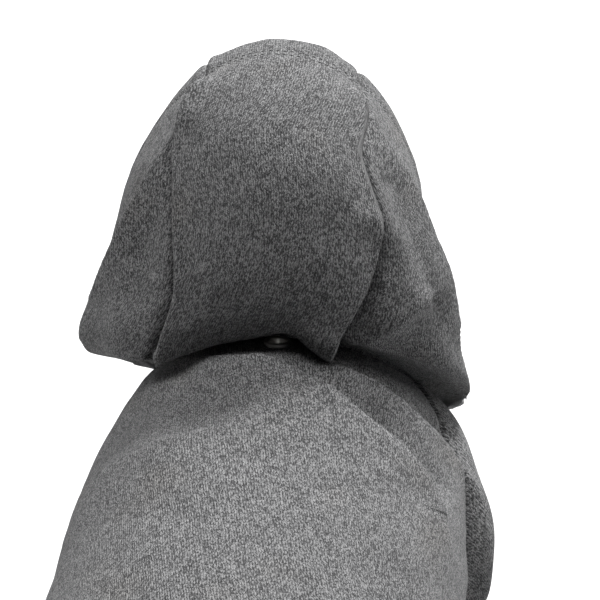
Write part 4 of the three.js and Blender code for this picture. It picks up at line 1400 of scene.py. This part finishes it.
# %% Thread and nickel
def thread_material(name):
    """Spun thread: fine slanting ridges, and a grey a little lighter than the cloth's middle, with painted
    shade that darkens the grooves between the ridges.
    """
    material, tree, shader = new_material(name)
    place = tree.nodes.new("ShaderNodeTexCoord").outputs["Object"]
    strands = tree.nodes.new("ShaderNodeTexWave")
    strands.bands_direction = "DIAGONAL"
    strands.inputs["Scale"].default_value = 900
    strands.inputs["Distortion"].default_value = 2
    put(tree, place, strands.inputs["Vector"])
    # Painted shade: the colour is dark where the strands' wave is low, in the grooves of the twist, and light
    # on the ridges.
    colour = blended(tree, strands.outputs["Fac"], (0.06, 0.06, 0.062, 1), (0.24, 0.24, 0.243, 1))
    put(tree, colour, shader.inputs["Base Color"])
    shader.inputs["Roughness"].default_value = 0.6
    bumped(tree, shader, strands.outputs["Fac"], 0.0001, 0.5)
    return material


def nickel_material(name):
    """Plated brass: bright, with faint scuffs in the gloss and dull patches of noise in its colour."""
    material, tree, shader = new_material(name)
    place = tree.nodes.new("ShaderNodeTexCoord").outputs["Object"]
    scuffs = noise(tree, place, 900, 4, 0.7)
    patina = noise(tree, place, 240, 2)
    put(tree, blended(tree, patina, (0.5, 0.49, 0.46, 1), (0.78, 0.77, 0.74, 1)), shader.inputs["Base Color"])
    shader.inputs["Metallic"].default_value = 1
    put(tree, maths(tree, "ADD", 0.3, maths(tree, "MULTIPLY", scuffs, 0.2)), shader.inputs["Roughness"])
    bumped(tree, shader, scuffs, 0.00004, 0.3)
    return material


for piece in (hood_centre, hood_right, hood_left, back, belly, sleeve_right, sleeve_left):
    piece.data.materials.append(fleece)
    piece.data.materials.append(fleece_inside)
for piece in (cuff_right, cuff_left, waistband):
    piece.data.materials.append(rib_knit)
hem_stitches.data.materials.append(thread_material("hem_thread"))
eyelet_metal.data.materials.append(nickel_material("nickel"))
print("materials:", [m.name for m in bpy.data.materials])

# %% [markdown]
# ## Studio
# The main soft light stands beyond the hood, about 45 degrees up, so the hood's shadow falls on the
# upper back and the ridges of the cloth catch the light from the far side. A large soft light hangs
# overhead, and two weak ones stand at the sides. The floor is plain and pale.

# %% Floor and lights
FLOOR_HALF, FLOOR_ROOM = 6.0, 0.0015
AIM = (0.0, 0.0, 0.0)

floor_mesh = bpy.data.meshes.new("floor")
floor_z = cad_box[0][2] - FLOOR_ROOM
signs = ((-1, -1), (1, -1), (1, 1), (-1, 1))
floor_corners = [(x * FLOOR_HALF, y * FLOOR_HALF, floor_z) for x, y in signs]
floor_mesh.from_pydata(floor_corners, [], [(0, 1, 2, 3)])
floor = bpy.data.objects.new("floor", floor_mesh)
bpy.context.collection.objects.link(floor)
floor_material, floor_tree, floor_shader = new_material("floor")
floor_grain = noise(floor_tree, floor_tree.nodes.new("ShaderNodeTexCoord").outputs["Object"], 3, 2)
floor_colour = blended(floor_tree, floor_grain, (0.64, 0.64, 0.64, 1), (0.66, 0.66, 0.66, 1))
put(floor_tree, floor_colour, floor_shader.inputs["Base Color"])
floor_shader.inputs["Roughness"].default_value = 0.8
floor_mesh.materials.append(floor_material)


def soft_light(name, place, size, power):
    """A square area light at a place, turned to face the garment."""
    data = bpy.data.lights.new(name, "AREA")
    data.shape = "SQUARE"
    data.size = size
    data.energy = power
    light = bpy.data.objects.new(name, data)
    bpy.context.collection.objects.link(light)
    light.location = place
    toward = np.array(AIM) - np.array(place)
    flat_reach = math.hypot(toward[0], toward[1])
    light.rotation_euler = (math.atan2(flat_reach, -toward[2]), 0, math.atan2(-toward[0], toward[1]))


soft_light("overhead", (0.0, -0.1, 3.0), 1.6, 74)
soft_light("beyond", (0.6, 2.0, 2.0), 0.9, 150)
soft_light("left", (-2.2, 0.3, 1.5), 1.2, 17)
soft_light("right", (2.2, 0.3, 1.5), 1.2, 14)

world = bpy.data.worlds.new("studio")
world.use_nodes = True
world.node_tree.nodes["Background"].inputs["Color"].default_value = (1, 1, 1, 1)
world.node_tree.nodes["Background"].inputs["Strength"].default_value = 0.04
bpy.context.scene.world = world
bpy.context.scene.view_settings.view_transform = "Standard"
